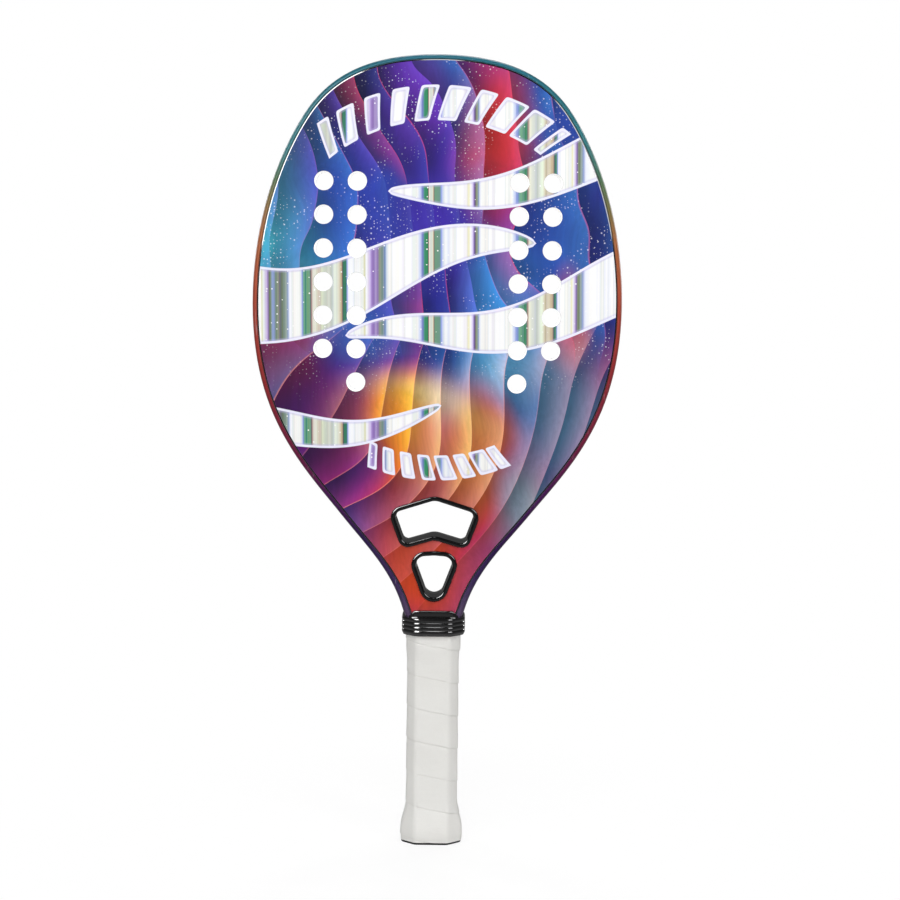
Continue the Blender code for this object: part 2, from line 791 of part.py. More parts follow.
def collar_surface():
    """Heights and bulges of the collar's outside, from its lower edge to its top."""
    low = COLLAR_BOTTOM + COLLAR_LIP
    top = HANDLE_LENGTH - COLLAR_SIDE_DROP
    pitch = (top - low) / COLLAR_RIBS
    rows = [(COLLAR_BOTTOM, -COLLAR_LIP_IN)]
    for rib in range(COLLAR_RIBS):
        start = low + rib * pitch
        bulge = COLLAR_BULGE * math.sin(math.pi * (rib + 0.5) / COLLAR_RIBS)
        rows.append((start, bulge - COLLAR_RIB_HEIGHT))
        rows.append((start + RIB_RISE * pitch, bulge))
        rows.append((start + RIB_FALL * pitch, bulge))
    rows.append((top, -COLLAR_TOP_IN))
    return rows


def neck_loop(z):
    """The collar's bore at a height where it lies round the frame's neck."""
    half = half_width_at(z) + GAP
    corners = handle_corners(
        2 * half,
        THICKNESS + 2 * GAP,
        2 * (half - NECK_CORNER),
        THICKNESS - 2 * NECK_CORNER,
        NECK_CORNER / 2,
    )
    return [Vector((x, y, z)) for x, y in rounded(corners, 0, EDGE_STEPS)]


def flats_divided(loop):
    """The loop with two more points on its front flat and two on its back one."""
    half = len(loop) // 2
    result = []
    for start in (0, half):
        part = loop[start : start + half]
        ahead = loop[(start + half) % len(loop)]
        shares = (COLLAR_FLAT_SHARE, 1 - COLLAR_FLAT_SHARE)
        result += part + [part[-1].lerp(ahead, share) for share in shares]
    return result


def collar():
    """Ribbed sleeve whose top rises as a rounded lip on the two faces of the neck."""
    bore = -(GAP + TAPE + GAP)
    loops = []
    for z, bulge in collar_surface():
        widest = grip_surface(LEG_TOP, bore - COLLAR_WALL - bulge)
        loops.append([Vector((x, y, z)) for x, y in widest])
    bend = COLLAR_STEP + BORE_BEND
    top = HANDLE_LENGTH - COLLAR_SIDE_DROP
    loops += [neck_loop(z) for z in (top, (top + bend) / 2, bend)]
    loops += [ring_at(z, bore) for z in (COLLAR_STEP, COLLAR_BOTTOM)]
    loops = [flats_divided(loop) for loop in loops]
    brim = len(collar_surface()) - 1
    for point in loops[brim + 1]:
        share = smooth((COLLAR_RISE_HALF - abs(point.x)) / COLLAR_RISE_FADE)
        point.z += share * (COLLAR_SIDE_DROP + COLLAR_FACE_RISE)
    shoulder = []
    for outer, inner in zip(loops[brim], loops[brim + 1]):
        point = outer.lerp(inner, SHOULDER_IN)
        point.z = mix(outer.z, inner.z, SHOULDER_UP)
        shoulder.append(point)
    loops.insert(brim + 1, shoulder)
    material = finish("black rubber", (0.02, 0.02, 0.022), 0.3)
    place("grip_collar", lofted("grip_collar", loops, ring=True), material)


def main():
    global parts, cutters
    clear_scene()
    parts = new_collection("beach tennis racket")
    cutters = new_collection("cutters")
    frame_tube()
    core()
    face_sheets()
    liners("upper_throat_liner", UPPER_OPENING)
    liners("lower_throat_liner", LOWER_OPENING)
    slots = staples()
    pallets(slots)
    butt_cap(slots)
    base_grip()
    overgrip()
    finishing_tape()
    collar()


main()
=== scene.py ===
import math

import bpy
import numpy as np
from mathutils import Matrix, Vector, noise
from mathutils.geometry import interpolate_bezier


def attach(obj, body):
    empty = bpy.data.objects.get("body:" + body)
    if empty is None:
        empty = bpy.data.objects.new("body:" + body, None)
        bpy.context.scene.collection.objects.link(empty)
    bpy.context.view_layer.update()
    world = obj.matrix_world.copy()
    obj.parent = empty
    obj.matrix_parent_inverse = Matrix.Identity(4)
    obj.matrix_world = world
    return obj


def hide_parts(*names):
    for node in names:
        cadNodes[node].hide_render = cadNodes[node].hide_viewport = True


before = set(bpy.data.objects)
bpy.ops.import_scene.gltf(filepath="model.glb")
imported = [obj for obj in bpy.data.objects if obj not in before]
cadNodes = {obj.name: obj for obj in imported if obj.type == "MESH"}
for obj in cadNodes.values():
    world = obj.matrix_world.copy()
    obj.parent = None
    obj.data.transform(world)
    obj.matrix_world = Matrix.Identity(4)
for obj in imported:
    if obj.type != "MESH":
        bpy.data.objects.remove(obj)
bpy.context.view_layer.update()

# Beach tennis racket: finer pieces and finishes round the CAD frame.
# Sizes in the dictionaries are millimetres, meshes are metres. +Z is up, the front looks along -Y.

mm = 0.001
mergeWithin = 0.002 * mm
racket = {"length": 500, "halfWidth": 116.1, "widestAt": 344.5}


# small tools

# 0 before the start, 1 past the end, smooth between them
def fade(value, start, end):
    share = min(max((value - start) / (end - start), 0.0), 1.0)
    return share * share * (3 - 2 * share)


def between(a, b, share):
    return a + (b - a) * share


def ripple(*place):
    return noise.noise(Vector(place))  # about -1 to 1, the same on every run


# a round edge: how far in and how far up its points lie, as shares of its radius
def roundEdge(steps, sweep=math.pi / 2):
    turns = [sweep * i / steps for i in range(steps + 1)]
    return [(1 - math.cos(turn), math.sin(turn)) for turn in turns]


def clearSelection():
    if bpy.context.object and bpy.context.object.mode != "OBJECT":
        bpy.ops.object.mode_set(mode="OBJECT")
    bpy.ops.object.select_all(action="DESELECT")


def selectOnly(piece):
    clearSelection()
    piece.select_set(True)
    bpy.context.view_layer.objects.active = piece


def startEdit(piece):
    selectOnly(piece)
    bpy.ops.object.mode_set(mode="EDIT")
    bpy.ops.mesh.select_all(action="SELECT")


# leaves edit mode with all faces pointing outwards
def endEdit():
    bpy.ops.mesh.select_all(action="SELECT")
    bpy.ops.mesh.normals_make_consistent(inside=False)
    bpy.ops.object.mode_set(mode="OBJECT")


def placeVertices(piece, points):
    piece.data.vertices.foreach_set("co", np.array(points, dtype=np.float32).ravel() * mm)
    piece.data.update()


def named(piece, name):
    piece.name = name
    piece.data.name = name
    return piece


def smoothed(piece, degrees=32):
    selectOnly(piece)
    bpy.ops.object.shade_smooth_by_angle(angle=math.radians(degrees))
    return piece


def applyModifier(piece, kind, **settings):
    selectOnly(piece)
    modifier = piece.modifiers.new(kind.lower(), kind)
    for key, value in settings.items():
        setattr(modifier, key, value)
    bpy.ops.object.modifier_apply(modifier=modifier.name)


# a grid laid on closed loops of points; along joins the last loop to the first
def loft(name, rows, along=False, capped=True):
    rows = [list(row) + [row[0]] for row in rows]
    if along:
        rows.append(rows[0])
    clearSelection()
    bpy.ops.mesh.primitive_grid_add(
        x_subdivisions=len(rows[0]) - 1, y_subdivisions=len(rows) - 1, size=1)
    piece = named(bpy.context.object, name)
    placeVertices(piece, [tuple(point) for row in rows for point in row])
    startEdit(piece)
    bpy.ops.mesh.remove_doubles(threshold=mergeWithin)
    if capped and not along:
        bpy.ops.mesh.fill_holes(sides=0)
    endEdit()
    return piece


# a flat cut across the piece at a height, closed by one face
def cutLevel(piece, z, keepAbove):
    startEdit(piece)
    bpy.ops.mesh.bisect(plane_co=(0, 0, z * mm), plane_no=(0, 0, 1), use_fill=True,
                        clear_inner=keepAbove, clear_outer=not keepAbove, threshold=mergeWithin / 2)
    bpy.ops.mesh.select_all(action="SELECT")
    bpy.ops.mesh.remove_doubles(threshold=mergeWithin)
    endEdit()


def setMaterials(piece, *materials):
    for i, material in enumerate(materials):
        if i < len(piece.data.materials):
            piece.data.materials[i] = material
        else:
            piece.data.materials.append(material)


# gives a finished piece its materials, puts it on the root body and hides the node it stands for
def settle(piece, slot, node, *materials):
    setMaterials(piece, *materials)
    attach(piece, "root")
    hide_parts(node)


# material tools

# a colour as a screen shows it, 0 to 255, made linear
def tint(red, green, blue):
    parts = [value / 255 for value in (red, green, blue)]
    return tuple(p / 12.92 if p < 0.04045 else ((p + 0.055) / 1.055) ** 2.4 for p in parts) + (1.0,)


def link(source, target):
    target.id_data.links.new(source, target)


# links each value to the socket of its name
def fill(sockets, **values):
    for key, value in values.items():
        link(value, sockets[key.replace("_", " ")])


# a shader node in the tree of the first socket that feeds it; gives its outputs
def addNode(kind, inputs, **settings):
    tree = next(value.id_data for value in inputs.values() if isinstance(value, bpy.types.NodeSocket))
    made = tree.nodes.new("ShaderNode" + kind)
    for key, value in settings.items():
        setattr(made, key, value)
    for key, value in inputs.items():
        if isinstance(value, bpy.types.NodeSocket):
            link(value, made.inputs[key])
        else:
            made.inputs[key].default_value = value
    return made.outputs


def calc(operation, *values, clamp=False):
    return addNode("Math", dict(enumerate(values)), operation=operation, use_clamp=clamp)[0]


def times(result, *others):
    for value in others:
        result = calc("MULTIPLY", result, value)
    return result


def plus(a, b):
    return calc("ADD", a, b)


def minus(a, b):
    return calc("SUBTRACT", a, b)


def over(a, b):
    return calc("DIVIDE", a, b)


def timesPlus(a, b, c):
    return calc("MULTIPLY_ADD", a, b, c)


def vectorCalc(operation, *values, output="Vector"):
    return addNode("VectorMath", dict(enumerate(values)), operation=operation)[output]


def lengthOf(vector):
    return vectorCalc("LENGTH", vector, output="Value")


def span(value, low, high, toLow=0.0, toHigh=1.0, kind="SMOOTHSTEP"):
    inputs = {"Value": value, "From Min": low, "From Max": high, "To Min": toLow, "To Max": toHigh}
    return addNode("MapRange", inputs, interpolation_type=kind)["Result"]


def mixValue(share, a, b):
    return addNode("Mix", {0: share, 2: a, 3: b})[0]


def mixColour(share, a, b, kind="MIX"):
    return addNode("Mix", {0: share, 6: a, 7: b}, data_type="RGBA", blend_type=kind)[2]


# a colour made darker or lighter by a factor round 1
def shaded(colour, shade):
    grey = addNode("CombineXYZ", {0: shade, 1: shade, 2: shade})[0]
    return mixColour(1.0, colour, grey, "MULTIPLY")


# stops are places from 0 to 1, each with its colour as a screen shows it
def colourRamp(value, stops, kind="LINEAR"):
    colour = addNode("ValToRGB", {"Fac": value})["Color"]
    ramp = colour.node.color_ramp
    ramp.interpolation = kind
    while len(ramp.elements) < len(stops):
        ramp.elements.new(1.0)
    for element, (place, *tone) in zip(ramp.elements, stops):
        element.position = place
        element.color = tint(*tone)
    return colour


def noiseAt(place, scale, detail=2.0, roughness=0.5, key="Vector", output="Fac", **settings):
    inputs = {key: place, "Scale": scale, "Detail": detail, "Roughness": roughness}
    return addNode("TexNoise", inputs, **settings)[output]


def stretched(place, scale, turn=(0, 0, 0)):
    return addNode("Mapping", {"Vector": place, "Rotation": turn, "Scale": scale})[0]


# a random number for each whole step of a value
def pickFor(value):
    return addNode("TexWhiteNoise", {"W": calc("FLOOR", value)}, noise_dimensions="1D")["Value"]


# scattered dots: a random number for each, and the distance to its middle
def scatter(place, scale):
    dots = addNode("TexVoronoi", {"Vector": place, "Scale": scale, "Randomness": 1.0},
                   voronoi_dimensions="2D")
    return addNode("SeparateColor", {0: dots["Color"]})[0], dots["Distance"]


# a node group; sockets are numbers but for Vector and Colour, and the inputs come in their order
def newGroup(name, inputs, outputs):
    group = bpy.data.node_groups.new(name, "ShaderNodeTree")
    kinds = {"Vector": "Vector", "Colour": "Color"}
    for way, keys in (("INPUT", inputs), ("OUTPUT", outputs)):
        for key in keys.split():
            kind = "NodeSocket" + kinds.get(key, "Float")
            group.interface.new_socket(key, in_out=way, socket_type=kind)
    start = group.nodes.new("NodeGroupInput").outputs
    end = group.nodes.new("NodeGroupOutput").inputs
    return group, [start[key] for key in inputs.split()], end


# values for the group's inputs, in their order
def useGroup(group, *values):
    return addNode("Group", dict(enumerate(values)), node_tree=group)


# a material, its shader's sockets and its object coordinates
def newMaterial(name, **plain):
    material = bpy.data.materials.new(name)
    material.use_nodes = True
    nodes = material.node_tree.nodes
    shader = nodes["Principled BSDF"].inputs
    for key, value in plain.items():
        shader[key.replace("_", " ")].default_value = value
    return material, shader, nodes.new("ShaderNodeTexCoord").outputs["Object"]


# feeds a shader its colour and roughness, and a bump so deep
def surface(shader, colour, rough, height, depth):
    bump = addNode("Bump", {"Height": height, "Distance": depth * mm})
    fill(shader, Base_Color=colour, Roughness=rough, Normal=bump["Normal"])


# camera, lamps and floor

photoCamera = {"place": (0.00917, -1.2942, 0.3748), "pitch": 5.4, "roll": 0.717, "lens": 81.8,
               "sensor": 36, "near": 0.01}

lamps = {
    "aim": (0, 0, 0.26),
    "each": [
        # name, place, size across and up, watts, what it lights
        ("leftPanel", (-0.95, -1.25, 0.80), (0.34, 0.70), 3.0, "matt"),
        ("rightPanel", (1.00, -1.20, 0.70), (0.30, 0.70), 4.9, "matt"),
        ("frontAbove", (-0.10, -1.30, 1.75), (0.80, 0.50), 9.2, "matt"),
        ("frontLow", (0.00, -1.70, 0.42), (0.60, 0.40), 5.2, "matt"),
        ("backAbove", (0.10, 1.40, 1.75), (0.80, 0.50), 9.0, "both"),
        ("backLeft", (-1.00, 1.25, 0.80), (0.34, 0.70), 5.5, "both"),
        ("backRight", (1.00, 1.25, 0.70), (0.34, 0.70), 5.5, "both"),
        ("leftSoftbox", (-0.85, -1.13, 1.02), (0.90, 1.10), 43.0, "gloss"),
        ("rightSoftbox", (0.92, -1.15, 0.90), (0.85, 0.70), 10.0, "gloss"),
        ("topStrip", (0.00, -1.20, 1.70), (0.20, 0.50), 1.6, "gloss"),
    ],
}

# how bright the white round the object is for matt surfaces, and in gloss to the side, ahead of
# the face and behind it, with the depths of a ray between which these turn into one another
surround = {
    "diffuse": 0.46, "side": 0.07, "ahead": 0.05, "aheadAt": (-0.97, -0.55), "behind": 0.08,
    "behindAt": (0.5, 0.9), "floor": 0.2, "floorRadius": 1.6, "floorGlow": 0.8,
    "floorFade": (0.04, 0.30), "floorTones": ((0.3, 250, 250, 250), (0.7, 253, 253, 253)),
}


def addCamera():
    bpy.ops.object.camera_add(location=photoCamera["place"])
    camera = bpy.context.object
    camera.name = "photoCamera"
    turn = Matrix.Rotation(math.radians(90 - photoCamera["pitch"]), 4, "X")
    turn = turn @ Matrix.Rotation(math.radians(photoCamera["roll"]), 4, "Z")
    camera.matrix_world = Matrix.Translation(photoCamera["place"]) @ turn
    camera.data.lens = photoCamera["lens"]
    camera.data.sensor_width = photoCamera["sensor"]
    camera.data.clip_start = photoCamera["near"]
    bpy.context.scene.camera = camera


def addLamps():
    for name, place, size, watts, lights in lamps["each"]:
        bpy.ops.object.light_add(type="AREA", location=place)
        lamp = bpy.context.object
        lamp.name = name
        lamp.data.shape = "RECTANGLE"
        lamp.data.size, lamp.data.size_y = size
        lamp.data.energy = watts
        lamp.visible_glossy = lights != "matt"
        lamp.visible_diffuse = lights != "gloss"
        aim = Vector(lamps["aim"]) - Vector(place)
        lamp.rotation_euler = aim.to_track_quat("-Z", "Y").to_euler()


# 1 where a glossy ray meets the surface, and 1 where the camera sees it
def rayKinds(tree):
    ray = tree.nodes.new("ShaderNodeLightPath").outputs
    return ray["Is Glossy Ray"], calc("MAXIMUM", ray["Is Camera Ray"], ray["Is Transmission Ray"])


# white to the camera, plain light on the object, and dark all round in gloss
def addSurround():
    s = surround
    world = bpy.data.worlds.new("surround")
    bpy.context.scene.world = world
    world.use_nodes = True
    tree = world.node_tree
    tree.nodes.clear()
    glossy, seen = rayKinds(tree)
    way = tree.nodes.new("ShaderNodeTexCoord").outputs["Generated"]
    away = addNode("SeparateXYZ", {0: way})["Y"]
    gloss = calc("MAXIMUM", span(away, *s["aheadAt"], s["ahead"], s["side"]),
                 span(away, *s["behindAt"], 0, s["behind"]))
    level = mixValue(seen, mixValue(glossy, s["diffuse"], gloss), 1)
    back = addNode("Background", {"Color": (1, 1, 1, 1), "Strength": level})[0]
    link(back, tree.nodes.new("ShaderNodeOutputWorld").inputs["Surface"])


# a pale floor that fades into the white round it and keeps the shadow
def addFloor():
    s = surround
    clearSelection()
    bpy.ops.mesh.primitive_circle_add(vertices=96, radius=s["floorRadius"], fill_type="NGON")
    floor = named(bpy.context.object, "floor")
    material, shader, place = newMaterial("pale floor", Roughness=0.9, Specular_IOR_Level=0.0)
    link(colourRamp(noiseAt(place, 60, 4), s["floorTones"]), shader["Base Color"])
    nodes = material.node_tree.nodes
    glossy, seen = rayKinds(material.node_tree)
    level = mixValue(seen, mixValue(glossy, s["diffuse"], s["floor"]), 1)
    glow = addNode("Emission", {"Color": (1, 1, 1, 1), "Strength": level})[0]
    far = span(lengthOf(place), *s["floorFade"], s["floorGlow"], 1)
    both = addNode("MixShader", {0: far, 1: nodes["Principled BSDF"].outputs[0], 2: glow})[0]
    link(both, nodes["Material Output"].inputs["Surface"])
    setMaterials(floor, material)


# shared effects

# fine mottling of a surface: shade round 1, roughness offset round 0, and height
def buildGrain():
    group, (place, grain, cloud, contrast), end = newGroup(
        "surfaceGrain", "Vector Grain Cloud Contrast", "Shade Rough Height")
    fine = noiseAt(place, over(1 / mm, grain), 3, 0.6)
    coarse = noiseAt(place, over(1 / mm, cloud), 4, 0.55)
    both = plus(times(fine, 0.4), times(coarse, 0.6))
    centred = times(minus(both, 0.5), contrast)
    fill(end, Shade=plus(1, times(centred, 2)), Rough=centred, Height=fine)
    return group


# thin crossing scratches and rubbed patches, 0 to 1
def buildScuffs():
    group, (place, amount), end = newGroup("scuffMarks", "Vector Amount", "Mask")
    marks = [span(noiseAt(stretched(place, (900, 900, 60), (0.3, turn, 0.2)), 1, 1), 0.68, 0.74)
             for turn in (0.5, 1.9)]
    patches = span(noiseAt(place, 45, 3), 0.5, 0.72)
    fill(end, Mask=times(calc("MAXIMUM", *marks), patches, amount))
    return group


grainGroup = buildGrain()
scuffGroup = buildScuffs()


# a moulded or lacquered surface with grain, mottling and light scuffs
def plainFinish(name, colour, roughness, grain, cloud, contrast, height, scuff=0.0, scuffTint=None,
                **plain):
    material, shader, place = newMaterial(name, **plain)
    mottled = useGroup(grainGroup, place, grain, cloud, contrast)
    base = shaded(colour, mottled["Shade"])
    rough = plus(roughness, mottled["Rough"])
    if scuff:
        mask = useGroup(scuffGroup, place, scuff)["Mask"]
        base = mixColour(mask, base, scuffTint)
        rough = plus(rough, times(mask, 0.25))
    surface(shader, base, calc("MAXIMUM", rough, 0.03), mottled["Height"], height)
    return material


# the print: silk ribbons of colour under tapering foil stripes and dashes

printDesign = {
    "ground": (30, 52, 150),
    "drift": 26.0,  # how far the colours wander
    # place across and up, reach, squeeze across, colour
    "pools": [
        (-66, 470, 96, 1.0, 22, 24, 78),
        (92, 456, 56, 1.2, 20, 62, 160),
        (-16, 466, 50, 1.6, 92, 20, 170),
        (34, 446, 60, 1.8, 214, 28, 34),
        (-104, 384, 66, 0.9, 48, 172, 196),
        (-54, 402, 54, 1.1, 14, 58, 186),
        (104, 384, 62, 1.2, 26, 16, 124),
        (60, 380, 42, 1.4, 12, 38, 176),
        (0, 392, 46, 1.5, 50, 18, 164),
        (-92, 316, 52, 1.0, 150, 20, 84),
        (40, 334, 46, 1.3, 60, 140, 220),
        (102, 318, 54, 1.2, 30, 18, 136),
        (78, 336, 30, 1.6, 206, 24, 50),
        (-46, 328, 40, 1.1, 30, 96, 196),
        (-74, 262, 60, 1.0, 34, 10, 100),
        (96, 262, 50, 1.0, 18, 60, 150),
        (70, 278, 52, 1.0, 14, 134, 184),
        (30, 270, 34, 1.5, 214, 60, 40),
        (-22, 262, 46, 1.5, 246, 126, 10),
        (20, 232, 40, 1.4, 236, 110, 20),
        (50, 222, 32, 1.2, 24, 146, 176),
        (-46, 222, 26, 1.2, 40, 40, 160),
        (-8, 184, 70, 1.0, 204, 62, 10),
    ],
    # place across and up, lean, half length, half width, strength, colour
    "lights": [
        (46, 312, -0.5, 78, 34, 0.50, 130, 206, 250),
        (-2, 262, 0.30, 92, 60, 0.86, 255, 128, 6),
        (-4, 284, 0.30, 66, 26, 0.70, 255, 226, 120),
    ],
    # the upper and the lower silk: lean from upright in degrees, how far it wanders, width of a
    # fold, strength, colour of the edges, colour of the shine, colours that the folds pick from
    "folds": [
        (-12, 130.0, 20.0, 0.46, (224, 56, 86), (110, 160, 255),
         [(104, 26, 196), (12, 44, 186), (176, 20, 84), (46, 140, 214),
          (34, 16, 132), (220, 30, 40)]),
        (24, 150.0, 19.0, 0.34, (246, 140, 110), (255, 196, 60),
         [(244, 122, 10), (150, 24, 110), (216, 40, 12), (24, 140, 184),
          (252, 170, 30), (226, 70, 14)]),
    ],
    # from the left rim (-1) or the right one (1): tip across, height at the middle, slope, wave,
    # wave length, phase, half thickness
    "stripes": [
        (1, -30, 416, 0.20, 8, 190, 0.55, 11.5),
        (-1, 60, 370, 0.17, 11, 210, 0.16, 16.5),
        (1, -56, 329, 0.22, 9, 185, 0.50, 13.0),
        (-1, 2, 279, 0.15, 8, 170, 0.02, 10.0),
    ],
    # centre height, up or down, radius, half depth, pitch, half length of the row
    "dashes": [
        (352, 1, 118, 9.5, 17.0, 76.5),
        (352, -1, 110, 6.5, 12.0, 42.0),
    ],
    "keyline": 1.45,
    # the foil's bands: period, how far they wander, where they begin, strength
    "bands": [(64.0, 0.62, 0.10, 1.0), (19.0, 0.8, 0.4, 0.14)],
}

# tones of the foil, in the order in which they lie side by side
foilTones = [
    (0.00, 252, 252, 253), (0.17, 255, 255, 255), (0.205, 186, 198, 246), (0.225, 70, 104, 206),
    (0.25, 60, 158, 112), (0.315, 54, 140, 92), (0.33, 36, 42, 38), (0.345, 170, 128, 104),
    (0.375, 236, 238, 214), (0.42, 206, 212, 206), (0.46, 238, 248, 228), (0.50, 192, 160, 118),
    (0.515, 40, 44, 40), (0.53, 46, 136, 86), (0.585, 40, 124, 98), (0.605, 108, 140, 232),
    (0.635, 246, 248, 255), (0.755, 255, 255, 252), (0.775, 238, 232, 180), (0.80, 252, 252, 255),
    (0.845, 206, 184, 238), (0.875, 116, 66, 168), (0.90, 104, 116, 84), (0.925, 128, 150, 122),
    (0.95, 112, 140, 206), (0.97, 228, 234, 252), (1.00, 252, 252, 253),
]


# distance in mm to one foil stripe that tapers from a rim to a round tip
def buildStripe():
    group, sockets, end = newGroup(
        "foilStripe", "Across Up Side Tip Height Slope Wave Length Phase Thickness", "Distance")
    across, up, side, tip, height, slope, wave, length, phase, thickness = sockets
    turn = times(plus(over(across, length), phase), 2 * math.pi)
    middle = timesPlus(across, slope, timesPlus(calc("SINE", turn), wave, height))
    steep = timesPlus(over(times(wave, 2 * math.pi), length), calc("COSINE", turn), slope)
    lean = calc("SQRT", timesPlus(steep, steep, 1))
    off = over(calc("ABSOLUTE", minus(up, middle)), lean)
    inwards = times(minus(across, tip), side)
    body = over(calc("MAXIMUM", inwards, 0), 100)
    half = times(calc("POWER", body, 0.6), thickness)
    beyond = calc("MAXIMUM", times(inwards, -1), 0)
    fill(end, Distance=plus(minus(off, half), beyond))
    return group


# distance in mm to a row of slanted dashes of uneven width, laid along an arc
def buildDashes():
    group, sockets, end = newGroup(
        "foilDashes", "Across Up Centre Way Radius Depth Pitch Reach", "Distance")
    across, up, centre, way, radius, depth, pitch, reach = sockets
    rise = times(minus(up, centre), way)
    off = minus(calc("SQRT", timesPlus(rise, rise, times(across, across))), radius)
    arc = timesPlus(off, -0.32, times(calc("ARCTAN2", across, rise), radius))
    cell = over(arc, pitch)
    side = times(calc("ABSOLUTE", minus(calc("FRACT", cell), 0.5)), pitch)
    wide = times(pitch, mixValue(pickFor(cell), 0.20, 0.36))
    tall = minus(calc("ABSOLUTE", off), depth)
    both = calc("SMOOTH_MAX", minus(side, wide), tall, 2.5)
    ends = minus(calc("ABSOLUTE", arc), reach)
    fill(end, Distance=calc("MAXIMUM", both, ends))
    return group


# silk folds across a flow: how light each is, its bright edge, and a random number for each
def buildFolds():
    group, (flow, width, edge), end = newGroup("silkFolds", "Flow Width Edge", "Light Line Pick")
    cell = over(flow, width)
    part = calc("FRACT", cell)
    left = times(minus(1, part), width)
    line = calc("SUBTRACT", 1, over(left, edge), clamp=True)
    fill(end, Light=calc("POWER", part, 1.6), Line=line, Pick=pickFor(cell))
    return group


# one set of folds from printDesign over a colour, along the wander and as far as the reach
def addFolds(colour, foldGroup, design, across, up, wander, reach, shine):
    angle, amount, width, strength, edgeTint, shineTint, tints = design
    turn = math.radians(angle)
    flow = timesPlus(up, -math.sin(turn), times(across, math.cos(turn)))
    flow = timesPlus(minus(wander, 0.5), amount, flow)
    folds = useGroup(foldGroup, flow, width, 0.7)
    lit = addNode("HueSaturation", {"Color": colour, "Saturation": 1.15, "Fac": times(reach, 0.9),
                                    "Value": mixValue(folds["Light"], 0.32, 1.25)})[0]
    stops = [(i / len(tints), *each) for i, each in enumerate(tints)]
    veil = colourRamp(folds["Pick"], stops, "CONSTANT")
    light = times(timesPlus(folds["Light"], 0.85, 0.10), reach)
    colour = mixColour(times(light, strength), lit, veil)
    sheen = times(calc("POWER", folds["Light"], 2.0), shine)
    colour = mixColour(sheen, colour, tint(*shineTint), "SCREEN")
    return mixColour(times(folds["Line"], reach, folds["Pick"]), colour, tint(*edgeTint))


